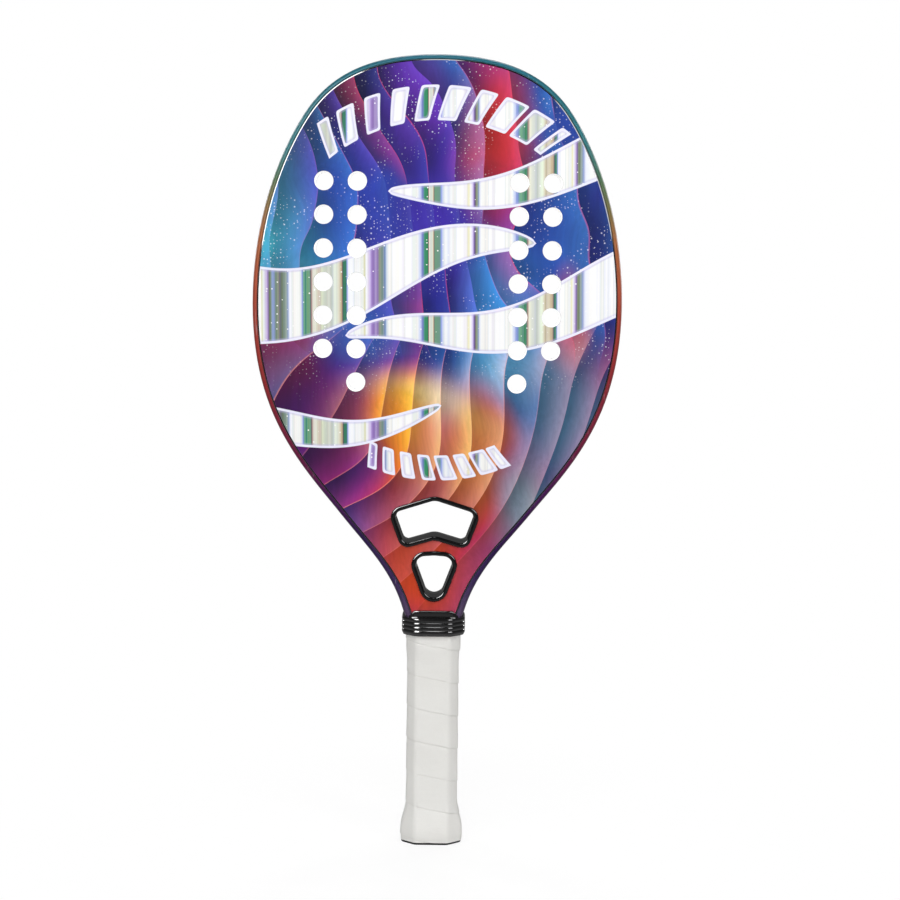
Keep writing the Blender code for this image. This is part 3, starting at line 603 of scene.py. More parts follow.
def buildPrint():
    design = printDesign
    group, (place,), end = newGroup("racketPrint", "Vector", "Colour Foil Line")
    inMm = addNode("VectorMath", {0: place, "Scale": 1 / mm}, operation="SCALE")[0]
    sides = addNode("SeparateXYZ", {0: inMm})
    across, up = sides["X"], sides["Z"]
    flat = addNode("CombineXYZ", {0: across, 1: up})[0]

    # colours that wander before they are placed
    wind = vectorCalc("SUBTRACT", noiseAt(flat, 0.009, 2, 0.45, output="Color"), (0.5, 0.5, 0.5))
    blown = vectorCalc("MULTIPLY_ADD", wind, (2 * design["drift"],) * 3, flat)
    colour = group.nodes.new("ShaderNodeRGB").outputs[0]
    colour.default_value = tint(*design["ground"])
    for x, z, reach, squeeze, *pool in design["pools"]:
        spot = vectorCalc("MULTIPLY", vectorCalc("SUBTRACT", blown, (x, z, 0)), (squeeze, 0.75, 0))
        colour = mixColour(span(lengthOf(spot), reach, reach * 0.15), colour, tint(*pool))

    # a cool haze and warm lights that lean across the lower face
    warmth = 0.0
    for x, z, lean, long, wide, strength, *glow in design["lights"]:
        spot = vectorCalc("SUBTRACT", blown, (x, z, 0))
        spot = addNode("VectorRotate", {"Vector": spot, "Angle": lean}, rotation_type="Z_AXIS")[0]
        away = lengthOf(vectorCalc("MULTIPLY", spot, (1 / long, 1 / wide, 0)))
        share = times(calc("POWER", span(away, 1.0, 0.0), 1.3), strength)
        colour = mixColour(share, colour, tint(*glow), "SCREEN")
        warmth = calc("MAXIMUM", warmth, share)

    # folds of silk over them
    foldGroup = buildFolds()
    slow = noiseAt(flat, 0.0075, 1.5, 0.4)
    slower = noiseAt(flat, 0.0052, 1, 0.4, noise_dimensions="4D")
    high = span(up, 296, 350)
    patch = span(noiseAt(flat, 0.014, 2), 0.34, 0.56)
    low = times(span(up, 342, 300), span(warmth, 0, 1, 1.0, 0.75), span(up, 165, 232, 0.25, 1.0))
    upper, lower = design["folds"]
    colour = addFolds(colour, foldGroup, upper, across, up, slow, times(high, patch),
                      times(high, 0.08))
    colour = addFolds(colour, foldGroup, lower, across, up, slower, low, warmth)

    # fine threads of light along the silk
    thread = noiseAt(stretched(blown, (0.40, 0.010, 1), (0, 0, 0.22)), 1, 3, 0.6)
    colour = shaded(colour, span(thread, 0.3, 0.7, 0.90, 1.10, kind="LINEAR"))

    # glitter in drifts, most of it in the upper half
    pick, off = scatter(flat, 0.48)
    dot = span(minus(times(calc("POWER", pick, 2.0), 0.26), off), 0.0, 0.06)
    drifts = span(noiseAt(flat, 0.034, 2), 0.44, 0.60)
    pale = mixColour(0.62, colour, (1, 1, 1, 1), "SCREEN")
    colour = mixColour(times(dot, drifts, span(up, 275, 330), 0.9), colour, pale)

    # foil shapes
    away = 1000  # farther than any foil lies
    for shape, rows in ((buildStripe(), design["stripes"]), (buildDashes(), design["dashes"])):
        for row in rows:
            away = calc("MINIMUM", away, useGroup(shape, across, up, *row)["Distance"])
    soft = 0.12
    foil = span(away, soft, -soft)
    line = span(away, design["keyline"] + soft, design["keyline"] - soft)

    # upright bands in the foil, the same in every shape they cross: broad ones, then fine ones
    bandAt = timesPlus(up, 0.012, across)
    bands = None
    for period, wander, first, share in design["bands"]:
        drift = noiseAt(times(bandAt, 3.0 / period), 1.0, 2, 0.5, key="W", noise_dimensions="1D")
        turn = timesPlus(bandAt, 1 / period, timesPlus(drift, wander, first))
        tone = colourRamp(calc("FRACT", turn), foilTones)
        bands = mixColour(share, bands, tone) if bands else tone
    bands = mixColour(times(span(away, -1.6, -0.2), 0.45), bands, tint(196, 190, 236))
    pick, off = scatter(flat, 0.30)
    speck = span(minus(times(span(pick, 0.72, 1.0), 0.17), off), 0.0, 0.05)
    bands = mixColour(speck, bands, tint(252, 252, 252))

    colour = mixColour(line, colour, tint(234, 234, 250))
    fill(end, Colour=mixColour(foil, colour, bands), Foil=foil, Line=line)
    return group


# side is 1 at the front, and -1 at the back, where the print is mirrored
def printMaterial(name, printGroup, side):
    material, shader, place = newMaterial(name, Specular_IOR_Level=0.28)
    art = useGroup(printGroup, stretched(place, (side, 1, 1)))
    mottled = useGroup(grainGroup, place, 0.9, 22, 0.05)
    rough = plus(span(art["Foil"], 0, 1, 0.30, 0.24), mottled["Rough"])
    rough = timesPlus(useGroup(scuffGroup, place, 0.25)["Mask"], 0.2, rough)
    height = plus(art["Line"], times(mottled["Height"], 0.1))
    surface(shader, shaded(art["Colour"], mottled["Shade"]), rough, height, 0.015)
    fill(shader, Metallic=times(art["Foil"], 0.06))
    return material


# the rail's colours from the butt to the head's top: height, and the colour there
railColours = [
    (150, 84, 68, 96), (172, 58, 40, 84), (196, 44, 22, 72), (228, 72, 22, 80), (262, 112, 28, 60),
    (305, 146, 44, 46), (348, 170, 72, 50), (386, 166, 98, 54), (408, 122, 102, 58), (426, 76, 108, 76),
    (444, 40, 112, 118), (500, 36, 104, 124),
]


def lacquerMaterial():
    material, shader, place = newMaterial("frame lacquer", Specular_IOR_Level=0.17)
    mottled = useGroup(grainGroup, place, 0.5, 16, 0.12)
    mask = useGroup(scuffGroup, place, 0.35)["Mask"]
    up = addNode("SeparateXYZ", {0: place})["Z"]
    wander = times(minus(noiseAt(place, 14, 2), 0.5), 0.05)
    share = times(plus(up, wander), 1 / (racket["length"] * mm))
    colour = colourRamp(share, [(z / racket["length"], *tone) for z, *tone in railColours])
    colour = mixColour(mask, shaded(colour, mottled["Shade"]), tint(190, 190, 190))
    rough = timesPlus(mask, 0.3, plus(0.36, mottled["Rough"]))
    surface(shader, colour, rough, mottled["Height"], 0.006)
    return material


# closed-cell foam: fine pores with painted shade in their dents, and a soft, dusty surface
def foamMaterial(name, colour, pore, **plain):
    material, shader, place = newMaterial(name, Specular_IOR_Level=0.2, **plain)
    cells = addNode("TexVoronoi", {"Vector": place, "Scale": 1 / (pore * mm)})
    mottled = useGroup(grainGroup, place, pore * 0.6, 9, 0.08)
    dent = span(cells["Distance"], 0.1, 0.55)
    # painted shade: the colour is a little darker in each pore's dent
    shade = times(mottled["Shade"], span(dent, 0, 1, 0.93, 1.02))
    surface(shader, shaded(colour, shade), plus(0.75, mottled["Rough"]), dent, 0.05)
    return material


# white tacky tape: fine pebble, dull patches from the hand, and painted shade along each turn's lower
# edge at the seam
def overgripMaterial():
    material, shader, place = newMaterial(
        "white overgrip", Specular_IOR_Level=0.5, Sheen_Weight=0.08, Sheen_Roughness=0.5)
    seam = addNode("SeparateXYZ", {0: place.node.outputs["UV"]})["X"]
    pebble = addNode("TexVoronoi", {"Vector": place, "Scale": 1500.0})["Distance"]
    mottled = useGroup(grainGroup, place, 1.4, 20, 0.06)
    crease = span(noiseAt(stretched(place, (60, 60, 420)), 1, 3, 0.6), 0.35, 0.7)
    hands = span(noiseAt(place, 32, 3), 0.4, 0.7)
    # painted shade on the step of each seam: the tape's lower edge is darker
    edge = span(seam, 0.0, 0.045, 0.7, 0.0)
    colour = mixColour(times(hands, 0.25), tint(230, 229, 225), tint(223, 221, 216))
    colour = mixColour(edge, colour, tint(184, 183, 176))
    rough = plus(timesPlus(hands, -0.08, 0.44), mottled["Rough"])
    height = timesPlus(pebble, 0.35, times(crease, 0.8))
    height = timesPlus(noiseAt(place, 85, 2), 5.0, height)
    surface(shader, shaded(colour, mottled["Shade"]), rough, height, 0.05)
    return material


# outline of the head, from its top down to the handle

outline = {
    # across, up, and degrees by which the line there has turned down from level
    "marks": ((0, racket["length"], 0), (79.7, 468.8, 51.4),
              (racket["halfWidth"], racket["widestAt"], 90), (59.6, 211.4, 128.9),
              (19.4, 150, 106.5), (11.25, 130, 90)),
    "pulls": ((0.568, 0.21), (0.09, 0.55), (0.495, 0.27), (0.37, 0.37), (0.32, 0.32)),
    "steps": (34, 26, 28, 20, 18),
    "legEnd": 30,
}


# points (across, up) of the right half with the way that leads inwards
def outlineStations():
    o = outline
    marks = []
    for x, z, degrees in o["marks"]:
        turn = math.radians(degrees)
        marks.append((Vector((x, z, 0)), Vector((math.cos(turn), -math.sin(turn), 0))))
    points = []
    for (first, away), (last, back), pulls, steps in zip(marks, marks[1:], o["pulls"], o["steps"]):
        reach = (last - first).length
        curve = interpolate_bezier(
            first, first + away * pulls[0] * reach, last - back * pulls[1] * reach, last, steps)
        points += curve[:-1]
    points.append(last)
    stations = []
    for i, point in enumerate(points):
        before = points[i - 1] if i else Vector((-points[1].x, points[1].y, 0))
        after = points[i + 1] if i + 1 < len(points) else point + Vector((0, -1, 0))
        ahead = (after - point).normalized() + (point - before).normalized()
        inwards = Vector((ahead.y, -ahead.x, 0)).normalized()
        stations.append((point.xy, inwards.xy))
    level = Vector((-1, 0))
    stations[-1] = (points[-1].xy, level)
    stations.append((Vector((points[-1].x, o["legEnd"])), level))
    return stations


stations = outlineStations()


def halfWidthAt(z):
    for (above, _), (below, _) in zip(stations, stations[1:]):
        if below.y <= z < above.y and above.y <= racket["widestAt"]:
            return between(below.x, above.x, (z - below.y) / (above.y - below.y))
    return stations[-1][0].x


rail = {
    "width": 10, "legWidth": 9.95, "face": 11, "legFace": 8.75, "band": 3.0, "neckBand": 4.1,
    "roundIn": 2.5, "roundDown": 6, "steps": 10, "rebate": 1.3, "wall": 1.6, "chamfer": 0.22,
    "neck": 150, "throat": 200, "legTop": 130,
}


def legShare(z):
    return fade(z, rail["neck"], rail["legTop"])


def tubeWidth(z):
    return between(rail["width"], rail["legWidth"], legShare(z))


def railBand(z):
    return between(rail["band"], rail["neckBand"], fade(z, rail["throat"], rail["neck"]))


# the closed outline drawn in and cut off level at the height end
def insetOutline(inset, end):
    half = []
    for point, inwards in stations:
        moved = point + inwards * inset(point.y)
        if moved.y <= end:
            last = half[-1]
            half.append(last.lerp(moved, (last.y - end) / (last.y - moved.y)))
            break
        half.append(moved)
    right = [(point.x, point.y) for point in half]
    return right + [(-x, z) for x, z in reversed(right[1:])]


# the tube's outside and bore at one station
def railLoops(point, inwards):
    r = rail
    face = between(r["face"], r["legFace"], legShare(point.y))
    width, band = tubeWidth(point.y), railBand(point.y)
    outside = [(r["roundIn"] * u, face - r["roundDown"] * (1 - v)) for u, v in roundEdge(r["steps"])]
    floor = face - r["rebate"]
    outside += [(band - r["chamfer"], face), (band, face - r["chamfer"]), (band, floor), (width, floor)]
    roof = floor - r["wall"]
    bore = [(r["wall"], face - r["roundDown"]), (r["wall"] + r["roundIn"] / 2, roof),
            (width - r["wall"], roof)]
    loops = []
    for profile in (outside, bore):
        both = [(u, -v) for u, v in profile] + [(u, v) for u, v in reversed(profile)]
        loops.append([(point.x + inwards.x * u, v, point.y + inwards.y * u) for u, v in both])
    return loops


def makeFrameTube():
    right = [railLoops(*station) for station in stations]
    left = [[[(-x, y, z) for x, y, z in loop] for loop in pair] for pair in reversed(right[1:])]
    outsides, bores = zip(*(left + right))
    tube = loft("frame_tube_lacquered", outsides, capped=False)
    bore = loft("bore", bores, capped=False)
    selectOnly(tube)
    bore.select_set(True)
    bpy.ops.object.join()
    mesh = tube.data
    footTop = (outline["legEnd"] + 0.5) * mm
    for side in (-1, 1):  # the foot of each leg, closed between its outside and its bore
        bpy.ops.object.mode_set(mode="EDIT")
        bpy.ops.mesh.select_mode(type="EDGE")
        bpy.ops.mesh.select_all(action="DESELECT")
        bpy.ops.object.mode_set(mode="OBJECT")
        for edge in mesh.edges:
            ends = [mesh.vertices[i].co for i in edge.vertices]
            edge.select = all(end.z < footTop and end.x * side > 0 for end in ends)
        bpy.ops.object.mode_set(mode="EDIT")
        bpy.ops.mesh.bridge_edge_loops()
    bpy.ops.mesh.select_mode(type="VERT")
    endEdit()
    return smoothed(tube)


# throat openings, holes, sheets and core

openings = {
    # half outlines of the liners' outer edges: across, above the neck line, corner radius
    "upper": ((0, 74.5, 12), (30.0, 65.0, 7.5), (20.8, 40.0, 6.5), (0, 46.1, 8)),
    "lower": ((0, 39.2, 20), (18.1, 37.9, 8.8), (0, -10.1, 9.1)),
    "steps": 14, "overlap": 1.5, "leastRadius": 0.3,
}

holes = {"size": 12, "pitch": 20.9, "columnIn": 44.6, "rows": 7, "drop": 3.9, "sides": 48}

cutDepth = 60  # right through the racket

sheet = {"thickness": 1.0, "face": 11, "gap": 0.3, "end": 146, "drop": 0.2, "grooveShadeLine": 0.25,
         "slope": 0.52, "rise": 0.19, "bevel": 0.16, "bevelFrom": 40}

core = {"end": 142}

printSlot, grooveShadeSlot, cutSlot = range(3)  # material slots of what is cut from a flat outline


def wholeOutline(half):
    right = [(x, rail["neck"] + z, radius) for x, z, radius in half]
    return right + [(-x, z, radius) for x, z, radius in reversed(right[1:-1])]


# a clockwise polygon drawn in by inset, with round corners
def rounded(corners, inset, steps):
    count = len(corners)
    points = [Vector(corner[:2]) for corner in corners]
    sides = [(points[(i + 1) % count] - points[i]).normalized() for i in range(count)]
    result = []
    for i in range(count):
        before, after = sides[i - 1], sides[i]
        innerBefore = Vector((before.y, -before.x))
        innerAfter = Vector((after.y, -after.x))
        sign = -1 if before.x * after.y - before.y * after.x < 0 else 1  # -1 where it is convex
        bisector = (innerBefore + innerAfter).normalized()
        lean = bisector.dot(innerAfter)
        sharp = points[i] + bisector * (inset / lean)
        radius = max(corners[i][2] + sign * inset, openings["leastRadius"])
        centre = sharp - bisector * (sign * radius / lean)
        first = math.atan2(*(innerBefore * sign).yx)
        last = math.atan2(*(innerAfter * sign).yx)
        sweep = (last - first + math.pi) % (2 * math.pi) - math.pi
        for step in range(steps):
            angle = first + sweep * step / (steps - 1)
            result.append((centre.x + math.cos(angle) * radius, centre.y + math.sin(angle) * radius))
    return result


def holeCentres():
    top = rail["neck"] + openings["upper"][0][1]
    middle = (top + racket["length"]) / 2 - holes["drop"]
    first = middle + holes["pitch"] * (holes["rows"] - 1) / 2
    outer = racket["halfWidth"] - holes["columnIn"]
    centres = []
    for column, rows in ((outer - holes["pitch"], holes["rows"]), (outer, holes["rows"] - 1)):
        for row in range(rows):
            z = first - row * holes["pitch"]
            centres += [(-column, z), (column, z)]
    return centres


# one drill, copied to all 26 places
def makeHoleDrill():
    centres = holeCentres()
    clearSelection()
    x, z = centres[0]
    bpy.ops.mesh.primitive_cylinder_add(
        vertices=holes["sides"], radius=holes["size"] / 2 * mm, depth=cutDepth * mm,
        location=(x * mm, 0, z * mm), rotation=(math.pi / 2, 0, 0))
    drill = named(bpy.context.object, "drill")
    bpy.ops.object.transform_apply(location=True, rotation=True, scale=True)
    startEdit(drill)
    for before, after in zip(centres, centres[1:]):
        step = ((after[0] - before[0]) * mm, 0, (after[1] - before[1]) * mm)
        bpy.ops.mesh.duplicate_move(TRANSFORM_OT_translate={"value": step})
    bpy.ops.object.mode_set(mode="OBJECT")
    return drill


def assignSlot(piece, slot):
    piece.active_material_index = slot
    bpy.ops.object.material_slot_assign()


# a flat outline, filled and drawn out along Y; a border is a dark rim that slopes up to the face, its
# dark colour painted shade of the groove next to the rail
def makePrism(name, points, start, depth, bordered=False):
    clearSelection()
    bpy.ops.mesh.primitive_circle_add(vertices=len(points), radius=1, fill_type="NOTHING")
    piece = named(bpy.context.object, name)
    placeVertices(piece, [(x, start, z) for x, z in points])
    for _ in (printSlot, grooveShadeSlot, cutSlot):
        piece.data.materials.append(None)
    startEdit(piece)
    bpy.ops.mesh.edge_face_add()
    if bordered:
        assignSlot(piece, grooveShadeSlot)
        bpy.ops.mesh.inset(thickness=sheet["grooveShadeLine"] * mm, use_even_offset=True)
        bpy.ops.mesh.inset(thickness=sheet["slope"] * mm, use_even_offset=True)
        assignSlot(piece, printSlot)
        bpy.ops.transform.translate(value=(0, math.copysign(sheet["rise"] * mm, start), 0))
        bpy.ops.mesh.select_all(action="SELECT")
    bpy.ops.mesh.extrude_region_move(TRANSFORM_OT_translate={"value": (0, depth * mm, 0)})
    endEdit()
    return piece


def makeCutters():
    cutters = [makeHoleDrill()]
    for name in ("upper", "lower"):
        points = rounded(wholeOutline(openings[name]), openings["overlap"], openings["steps"])
        cutters.append(makePrism(name + "Cutter", points, -cutDepth / 2, cutDepth))
    for cutter in cutters:
        while len(cutter.data.materials) <= cutSlot:
            cutter.data.materials.append(None)
        for face in cutter.data.polygons:
            face.material_index = cutSlot
        cutter.hide_render = True
    return cutters


def pierce(piece, cutters):
    for cutter in cutters:
        applyModifier(piece, "BOOLEAN", operation="DIFFERENCE", solver="EXACT",
                      material_mode="INDEX", object=cutter)


def makeFaceSheet(side, sign, cutters):
    points = insetOutline(lambda z: railBand(z) + sheet["gap"], sheet["end"])
    piece = makePrism(f"{side}_face_print", points, sign * (sheet["face"] - sheet["drop"]),
                      sign * (sheet["drop"] - sheet["thickness"]), bordered=True)
    pierce(piece, cutters)
    applyModifier(piece, "BEVEL", width=sheet["bevel"] * mm, segments=2, limit_method="ANGLE",
                  angle_limit=math.radians(sheet["bevelFrom"]), material=cutSlot)
    return smoothed(piece, 18)


def makeCore(cutters):
    points = insetOutline(lambda z: tubeWidth(z) + sheet["gap"], core["end"])
    half = sheet["face"] - sheet["thickness"] - sheet["gap"]
    piece = makePrism("foam_core_drilled", points, -half, 2 * half)
    pierce(piece, cutters)
    return smoothed(piece)


liner = {
    "rest": 11.3, "beadHeight": 1.2, "beadWidth": 2.9, "beadSteps": 14, "beadPower": 0.7,
    # where the bead meets the wall of the opening, as shares of its width and height
    "beadEnd": (0.97, 0.25),
    "wall": 1.6, "taper": 0.5, "taperAt": 0.48, "gap": 0.3,
}


# from the outer edge over the round bead and down the wall of the opening
def linerProfile():
    l = liner
    outside = openings["overlap"] + l["gap"]
    inside = outside + l["wall"]
    bead = [(l["beadWidth"] / 2 * u, l["rest"] + l["beadHeight"] * v ** l["beadPower"])
            for u, v in roundEdge(l["beadSteps"], math.pi)[:-1]]
    along, up = l["beadEnd"]
    return bead + [
        (l["beadWidth"] * along, l["rest"] + l["beadHeight"] * up),
        (inside - l["taper"], l["rest"] - l["beadHeight"]),
        (inside - l["taper"] / 2, l["rest"] * l["taperAt"]),
        (inside, l["gap"] / 2), (outside, l["gap"] / 2), (outside, l["rest"])]


def makeLiner(name, half, sign):
    corners = wholeOutline(half)
    rows = []
    for inset, depth in linerProfile():
        rows.append([(x, sign * depth, z) for x, z in rounded(corners, inset, openings["steps"])])
    return smoothed(loft(name, rows, along=True), 40)


# handle

grip = {
    "width": 33.2, "depth": 29, "frontFlat": 21.5, "sideFlat": 17, "edge": 2.2, "layers": 3.15,
    "flareWidth": 3.4, "flareDepth": 2.4, "flareTop": 26, "flareFull": 6, "buttEdge": 0.9,
    "topFlare": 0.9, "topStart": 117, "legTop": 130,
}


def eightSides(width, depth, frontFlat, sideFlat, radius):
    a, b, f, g = width / 2, depth / 2, frontFlat / 2, sideFlat / 2
    half = [(f, b), (a, g), (a, -g), (f, -b)]
    return [(x, y, radius) for x, y in half + [(-x, -y) for x, y in half]]


# corners drawn in and rounded, with points laid on the flats between them
def roundedRing(corners, inset, steps, flats):
    ring = rounded(corners, inset, steps)
    full = []
    for i, point in enumerate(ring):
        full.append(point)
        if i % steps == steps - 1:
            after = ring[(i + 1) % len(ring)]
            for k in range(1, flats + 1):
                share = k / (flats + 1)
                full.append((between(point[0], after[0], share), between(point[1], after[1], share)))
    return full


# the loop round the handle at a height, so far below the overgrip's surface
def gripLoop(z, below, steps=6, flats=0):
    g = grip
    flare = fade(z, g["flareTop"], g["flareFull"])
    edge = g["buttEdge"] * max(0.0, 1 - z / g["flareFull"]) ** 2
    top = g["topFlare"] * fade(z, g["topStart"], g["legTop"])
    grow = 2 * (top - edge)
    corners = eightSides(g["width"] + grow + 2 * g["flareWidth"] * flare,
                         g["depth"] + grow + 2 * g["flareDepth"] * flare,
                         g["frontFlat"], g["sideFlat"], g["edge"] + g["layers"])
    return roundedRing(corners, below, steps, flats)


overgrip = {
    "bottom": 1.4, "top": 137, "pitch": 21.2, "half": 10.35, "start": -0.18, "least": 3, "tail": -2.6,
    "cornerSteps": 6, "flatSteps": 5,
    # how much the lower edge wavers and the tape puffs up, and how fast along the strip
    "waver": 0.22, "waverPace": 0.045, "puff": 0.10, "puffPace": 0.05, "puffClimb": 0.11,
    # height above the tape's lower edge and depth under the grip's surface, all round the section
    "section": (
        (0.0, 0.34), (0.0, 0.17), (0.08, 0.05), (0.25, 0.0), (0.9, 0.0), (3.0, 0.03), (5.6, 0.07),
        (8.2, 0.11), (10.8, 0.15), (13.4, 0.19), (16.0, 0.23), (18.4, 0.27), (19.8, 0.31),
        (20.5, 0.38), (20.9, 0.48), (21.3, 0.52), (22.6, 0.53),
        (22.7, 0.9), (17.0, 0.9), (11.0, 0.9), (5.0, 0.9), (2.7, 0.9), (2.1, 0.62), (1.7, 0.43),
        (0.1, 0.42),
    ),
}


# one strip wound down the handle, each turn's lower edge over the turn below
def makeOvergrip():
    o = overgrip
    loopAt = lambda z, below: gripLoop(z, below, o["cornerSteps"], o["flatSteps"])
    guide = [Vector(point) for point in loopAt((grip["flareTop"] + grip["topStart"]) / 2, 0)]
    count = len(guide)
    sides = [(guide[(i + 1) % count] - guide[i]).length for i in range(count)]
    shares = [sum(sides[count - i:]) / sum(sides) for i in range(count)]
    rows = []
    step = 0
    while True:
        turn, i = divmod(step, count)
        low = o["top"] - o["pitch"] * (turn + shares[i] + o["start"])
        step += 1
        if low > o["top"] - o["least"]:
            continue
        if low + 2 * o["half"] < o["bottom"] + o["tail"]:
            break
        row = []
        for height, below in o["section"]:
            if height < 1:  # the lower edge
                height += o["waver"] * ripple(step * o["waverPace"], 3.1, 0) * (1 - height)
            z = min(max(low + height, o["bottom"]), o["top"])
            if 0.5 < height < 20 and below < 0.4:  # the outer face
                below += o["puff"] * ripple(step * o["puffPace"], z * o["puffClimb"], 7.7)
            x, y = loopAt(z, below)[-i]
            row.append((x, y, low + height))
        rows.append(row)
    print(f"overgrip: {len(rows)} sections")
    strip = loft("overgrip_wound", rows)
    cutLevel(strip, o["bottom"], keepAbove=True)
    cutLevel(strip, o["top"], keepAbove=False)
    return smoothed(strip, 38)


collar = {
    "bottom": 135.3, "top": 146.8, "lip": 1.0, "ribs": 4, "ribSteps": 8, "ribHeight": 0.5,
    "ribPower": 0.6, "bulge": 0.1, "crown": 0.35, "topIn": 0.2, "brimSteps": (0.3, 0.65),
    "toe": ((0.15, -1.35), (0, -1.1), (0.1, -0.8)),  # above the bottom, and out from the ribs
    "rise": 4.3, "riseHalf": 15.2, "riseFull": 13.2, "lipDepth": 2.0, "lipFoot": 0.3,
    "lipRound": 0.9, "lipSteps": 8, "bore": -1.1, "wall": 1.45, "bend": 141.5, "step": 140,
    "neckGap": 0.3, "neckCorner": 2, "cornerSteps": 8, "flatSteps": 7,
}


# the collar's bore where it lies round the neck; a lip over its faces may rise and stand out
def neckLoop(z, rise=0.0, out=0.0):
    c = collar
    corner = c["neckCorner"]
    half, face = halfWidthAt(z) + c["neckGap"], rail["face"]
    corners = eightSides(2 * half, 2 * (face + c["neckGap"]), 2 * (half - corner), 2 * (face - corner),
                         corner / 2)
    points = []
    for x, y in roundedRing(corners, 0, c["cornerSteps"], c["flatSteps"]):
        share = fade(abs(x), c["riseHalf"], c["riseFull"])
        points.append((x, y + math.copysign(out * share, y), z + rise * share))
    return points


# a ring round the grip's top end, a little crowned on its front and back
def collarRing(z, below, crowned=True):
    c = collar
    ring = []
    flat = grip["frontFlat"] / 2
    for x, y in gripLoop(min(z, grip["legTop"]), below, c["cornerSteps"], c["flatSteps"]):
        crown = c["crown"] * max(0.0, 1 - (x / flat) ** 2) if crowned else 0.0
        ring.append((x, y + math.copysign(crown, y), z))
    return ring


def makeCollar():
    c = collar
    outside = [(c["bottom"] + up, out) for up, out in c["toe"]]
    low = c["bottom"] + c["lip"]
    pitch = (c["top"] - low) / c["ribs"]
    for rib in range(c["ribs"]):
        crest = c["bulge"] * math.sin(math.pi * (rib + 0.5) / c["ribs"])
        for i in range(c["ribSteps"]):
            share = i / c["ribSteps"]
            lift = math.sin(math.pi * share) ** c["ribPower"] if i else 0.0
            outside.append((low + (rib + share) * pitch, crest - c["ribHeight"] * (1 - lift)))
    outer = c["bore"] - c["wall"]
    rows = [collarRing(z, outer - out) for z, out in outside]
    brim = collarRing(c["top"], outer + c["topIn"])
    foot = neckLoop(c["top"], c["lipFoot"], c["lipDepth"])
    rows.append(brim)
    for share in c["brimSteps"]:
        rows.append([tuple(between(p, q, share) for p, q in zip(a, b)) for a, b in zip(brim, foot)])
    rows.append(foot)
    for u, v in roundEdge(c["lipSteps"]):
        rows.append(neckLoop(c["top"], c["rise"] - c["lipRound"] * (1 - v),
                             c["lipDepth"] - c["lipRound"] * u))
    rows.append(neckLoop(c["top"], c["rise"]))
    rows += [neckLoop(z) for z in ((c["top"] + c["bend"]) / 2, c["bend"])]
    rows += [collarRing(z, c["bore"], crowned=False) for z in (c["step"], c["bottom"])]
    return smoothed(loft("grip_collar_ribbed", rows, along=True), 50)


cap = {
    # height and depth under the grip's surface: the shallow dish underneath, then the rim's edge
    "base": ((0.6, 9.5), (0.6, 8.8), (0.5, 8.2), (0.5, 6.0), (0.4, 5.7), (0.15, 5.5), (0.05, 5.35),
             (0, 5.1), (0, 1.4), (0.04, 1.18), (0.16, 1.02), (0.35, 0.92), (0.5, 0.9), (0.93, 0.9),
             (1.0, 0.98)),
    "skirt": (1.0, 4, 7, 10, 13, 16, 19, 22), "floor": 2.4, "wall": 1.5,
}


# the butt cap: its base, the rim that shows, and the skirt up inside
def makeCap():
    c = cap
    outside = [(grip["flareFull"], z, below) for z, below in c["base"]]
    outside += [(z, z, grip["layers"]) for z in c["skirt"]]
    inside = [z for z in reversed(c["skirt"]) if z > c["floor"]] + [c["floor"]]
    inside = [(z, z, grip["layers"] + c["wall"]) for z in inside]
    rows = [[(x, y, z) for x, y in gripLoop(sizeAt, below)] for sizeAt, z, below in outside + inside]
    return smoothed(loft("butt_cap_moulded", rows))


# everything together

addCamera()
addLamps()
addSurround()
addFloor()
print("camera, lamps and floor placed")

printGroup = buildPrint()
frontPrint = printMaterial("front print", printGroup, 1.0)
backPrint = printMaterial("back print", printGroup, -1.0)
lacquer = lacquerMaterial()
# dark glossy rim round the print: painted shade of the groove between rail and print
grooveShadeLine = plainFinish("painted groove shade line", tint(8, 6, 14), 0.10, 0.5, 14, 0.05, 0.002,
                       Specular_IOR_Level=0.5, Coat_Weight=1.0, Coat_Roughness=0.06, Coat_IOR=1.8)
cutEdge = plainFinish("cut laminate edge", tint(110, 112, 122), 0.45, 0.3, 4, 0.3, 0.01,
                      Specular_IOR_Level=0.3)
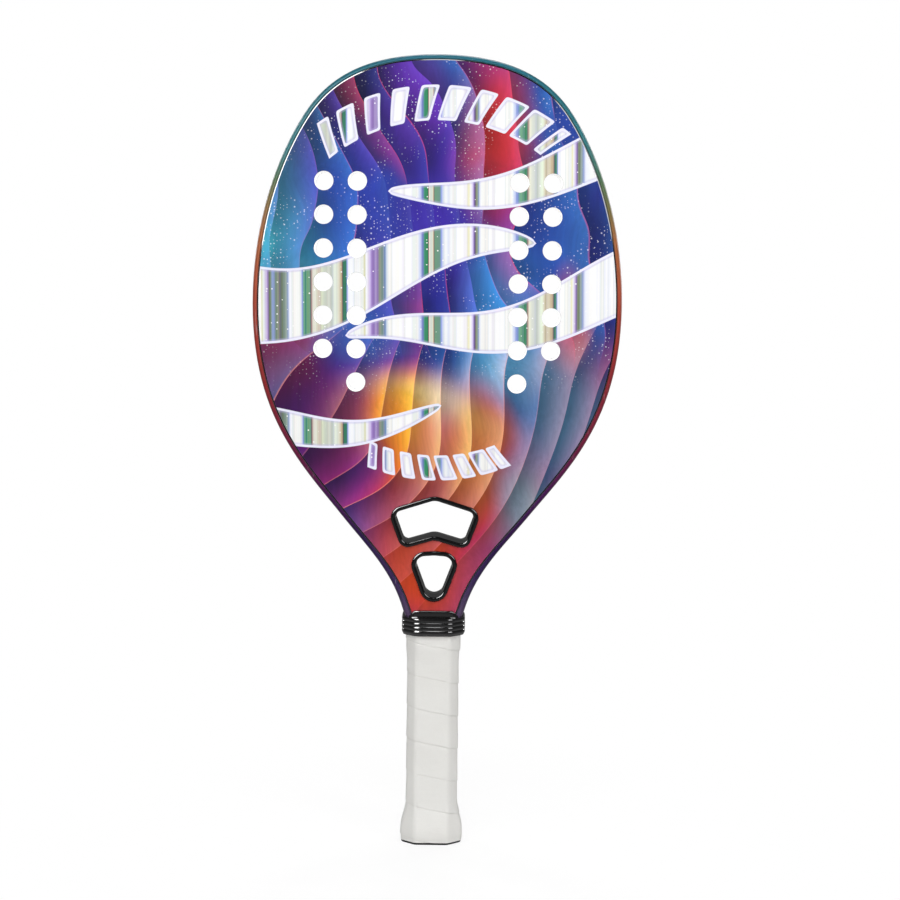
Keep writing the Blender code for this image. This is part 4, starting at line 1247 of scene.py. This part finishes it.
# the foam glows a little: a painted glow in place of the white round it shining through
glowingFoam = foamMaterial("white foam", tint(254, 254, 253), 0.5, Emission_Color=(1, 1, 1, 1),
                         Emission_Strength=0.16)
handleFoam = foamMaterial("handle foam", tint(196, 188, 162), 0.8)
glossBlack = plainFinish("gloss black liner", tint(10, 10, 11), 0.10, 0.6, 18, 0.05, 0.003,
                         scuff=0.3, scuffTint=tint(46, 46, 48), Specular_IOR_Level=0.6,
                         Coat_Weight=0.6, Coat_Roughness=0.05)
blackRubber = plainFinish("collar rubber", tint(8, 8, 9), 0.16, 0.35, 6, 0.10, 0.006,
                          scuff=0.4, scuffTint=tint(56, 56, 58), Specular_IOR_Level=0.75,
                          Coat_Weight=1.0, Coat_Roughness=0.08, Coat_IOR=1.65)
capPlastic = plainFinish("cap plastic", tint(20, 20, 21), 0.42, 0.25, 9, 0.12, 0.02,
                         scuff=0.6, scuffTint=tint(86, 86, 88))
whiteTape = overgripMaterial()
gripRubber = plainFinish("base grip rubber", tint(58, 58, 60), 0.8, 0.5, 10, 0.2, 0.06)
blackTape = plainFinish("finishing tape", tint(18, 18, 19), 0.35, 0.4, 8, 0.12, 0.02)
stapleWire = plainFinish("galvanised wire", tint(176, 178, 182), 0.38, 0.15, 1.5, 0.25, 0.01,
                         Metallic=1.0)
print("materials made")

settle(makeFrameTube(), "frame_lacquer", "frame_tube", lacquer)
print("frame tube laid round the head")

cutters = makeCutters()
for side, sign, art in (("front", -1, frontPrint), ("back", 1, backPrint)):
    settle(makeFaceSheet(side, sign, cutters), side + "_print", side + "_face_sheet",
           art, grooveShadeLine, cutEdge)
settle(makeCore(cutters), "white_foam", "foam_core", glowingFoam, glowingFoam, glowingFoam)
for cutter in cutters:
    bpy.data.objects.remove(cutter)
print("sheets and core cut and drilled")

for name in ("upper", "lower"):
    for side, sign in (("front", -1), ("back", 1)):
        settle(makeLiner(f"{name}_liner_{side}_bead", openings[name], sign),
               "gloss_black", f"{name}_throat_liner_{side}", glossBlack)
print("throat liners fitted")

settle(makeOvergrip(), "white_overgrip", "overgrip", whiteTape)
settle(makeCollar(), "black_rubber", "grip_collar", blackRubber)
settle(makeCap(), "black_plastic", "butt_cap", capPlastic)
print("handle wound, collar and cap fitted")

# the nodes that stay as the CAD made them
for finish, nodes in ((handleFoam, ("handle_half_left", "handle_half_right")),
                      (gripRubber, ("base_grip",)), (blackTape, ("finishing_tape",)),
                      (stapleWire, ("cap_staple_front", "cap_staple_back", "cap_staple_left",
                                    "cap_staple_right"))):
    for node in nodes:
        for materialSlot in cadNodes[node].material_slots:
            materialSlot.material = finish

bpy.context.scene.view_settings.view_transform = "Standard"
bpy.context.view_layer.update()
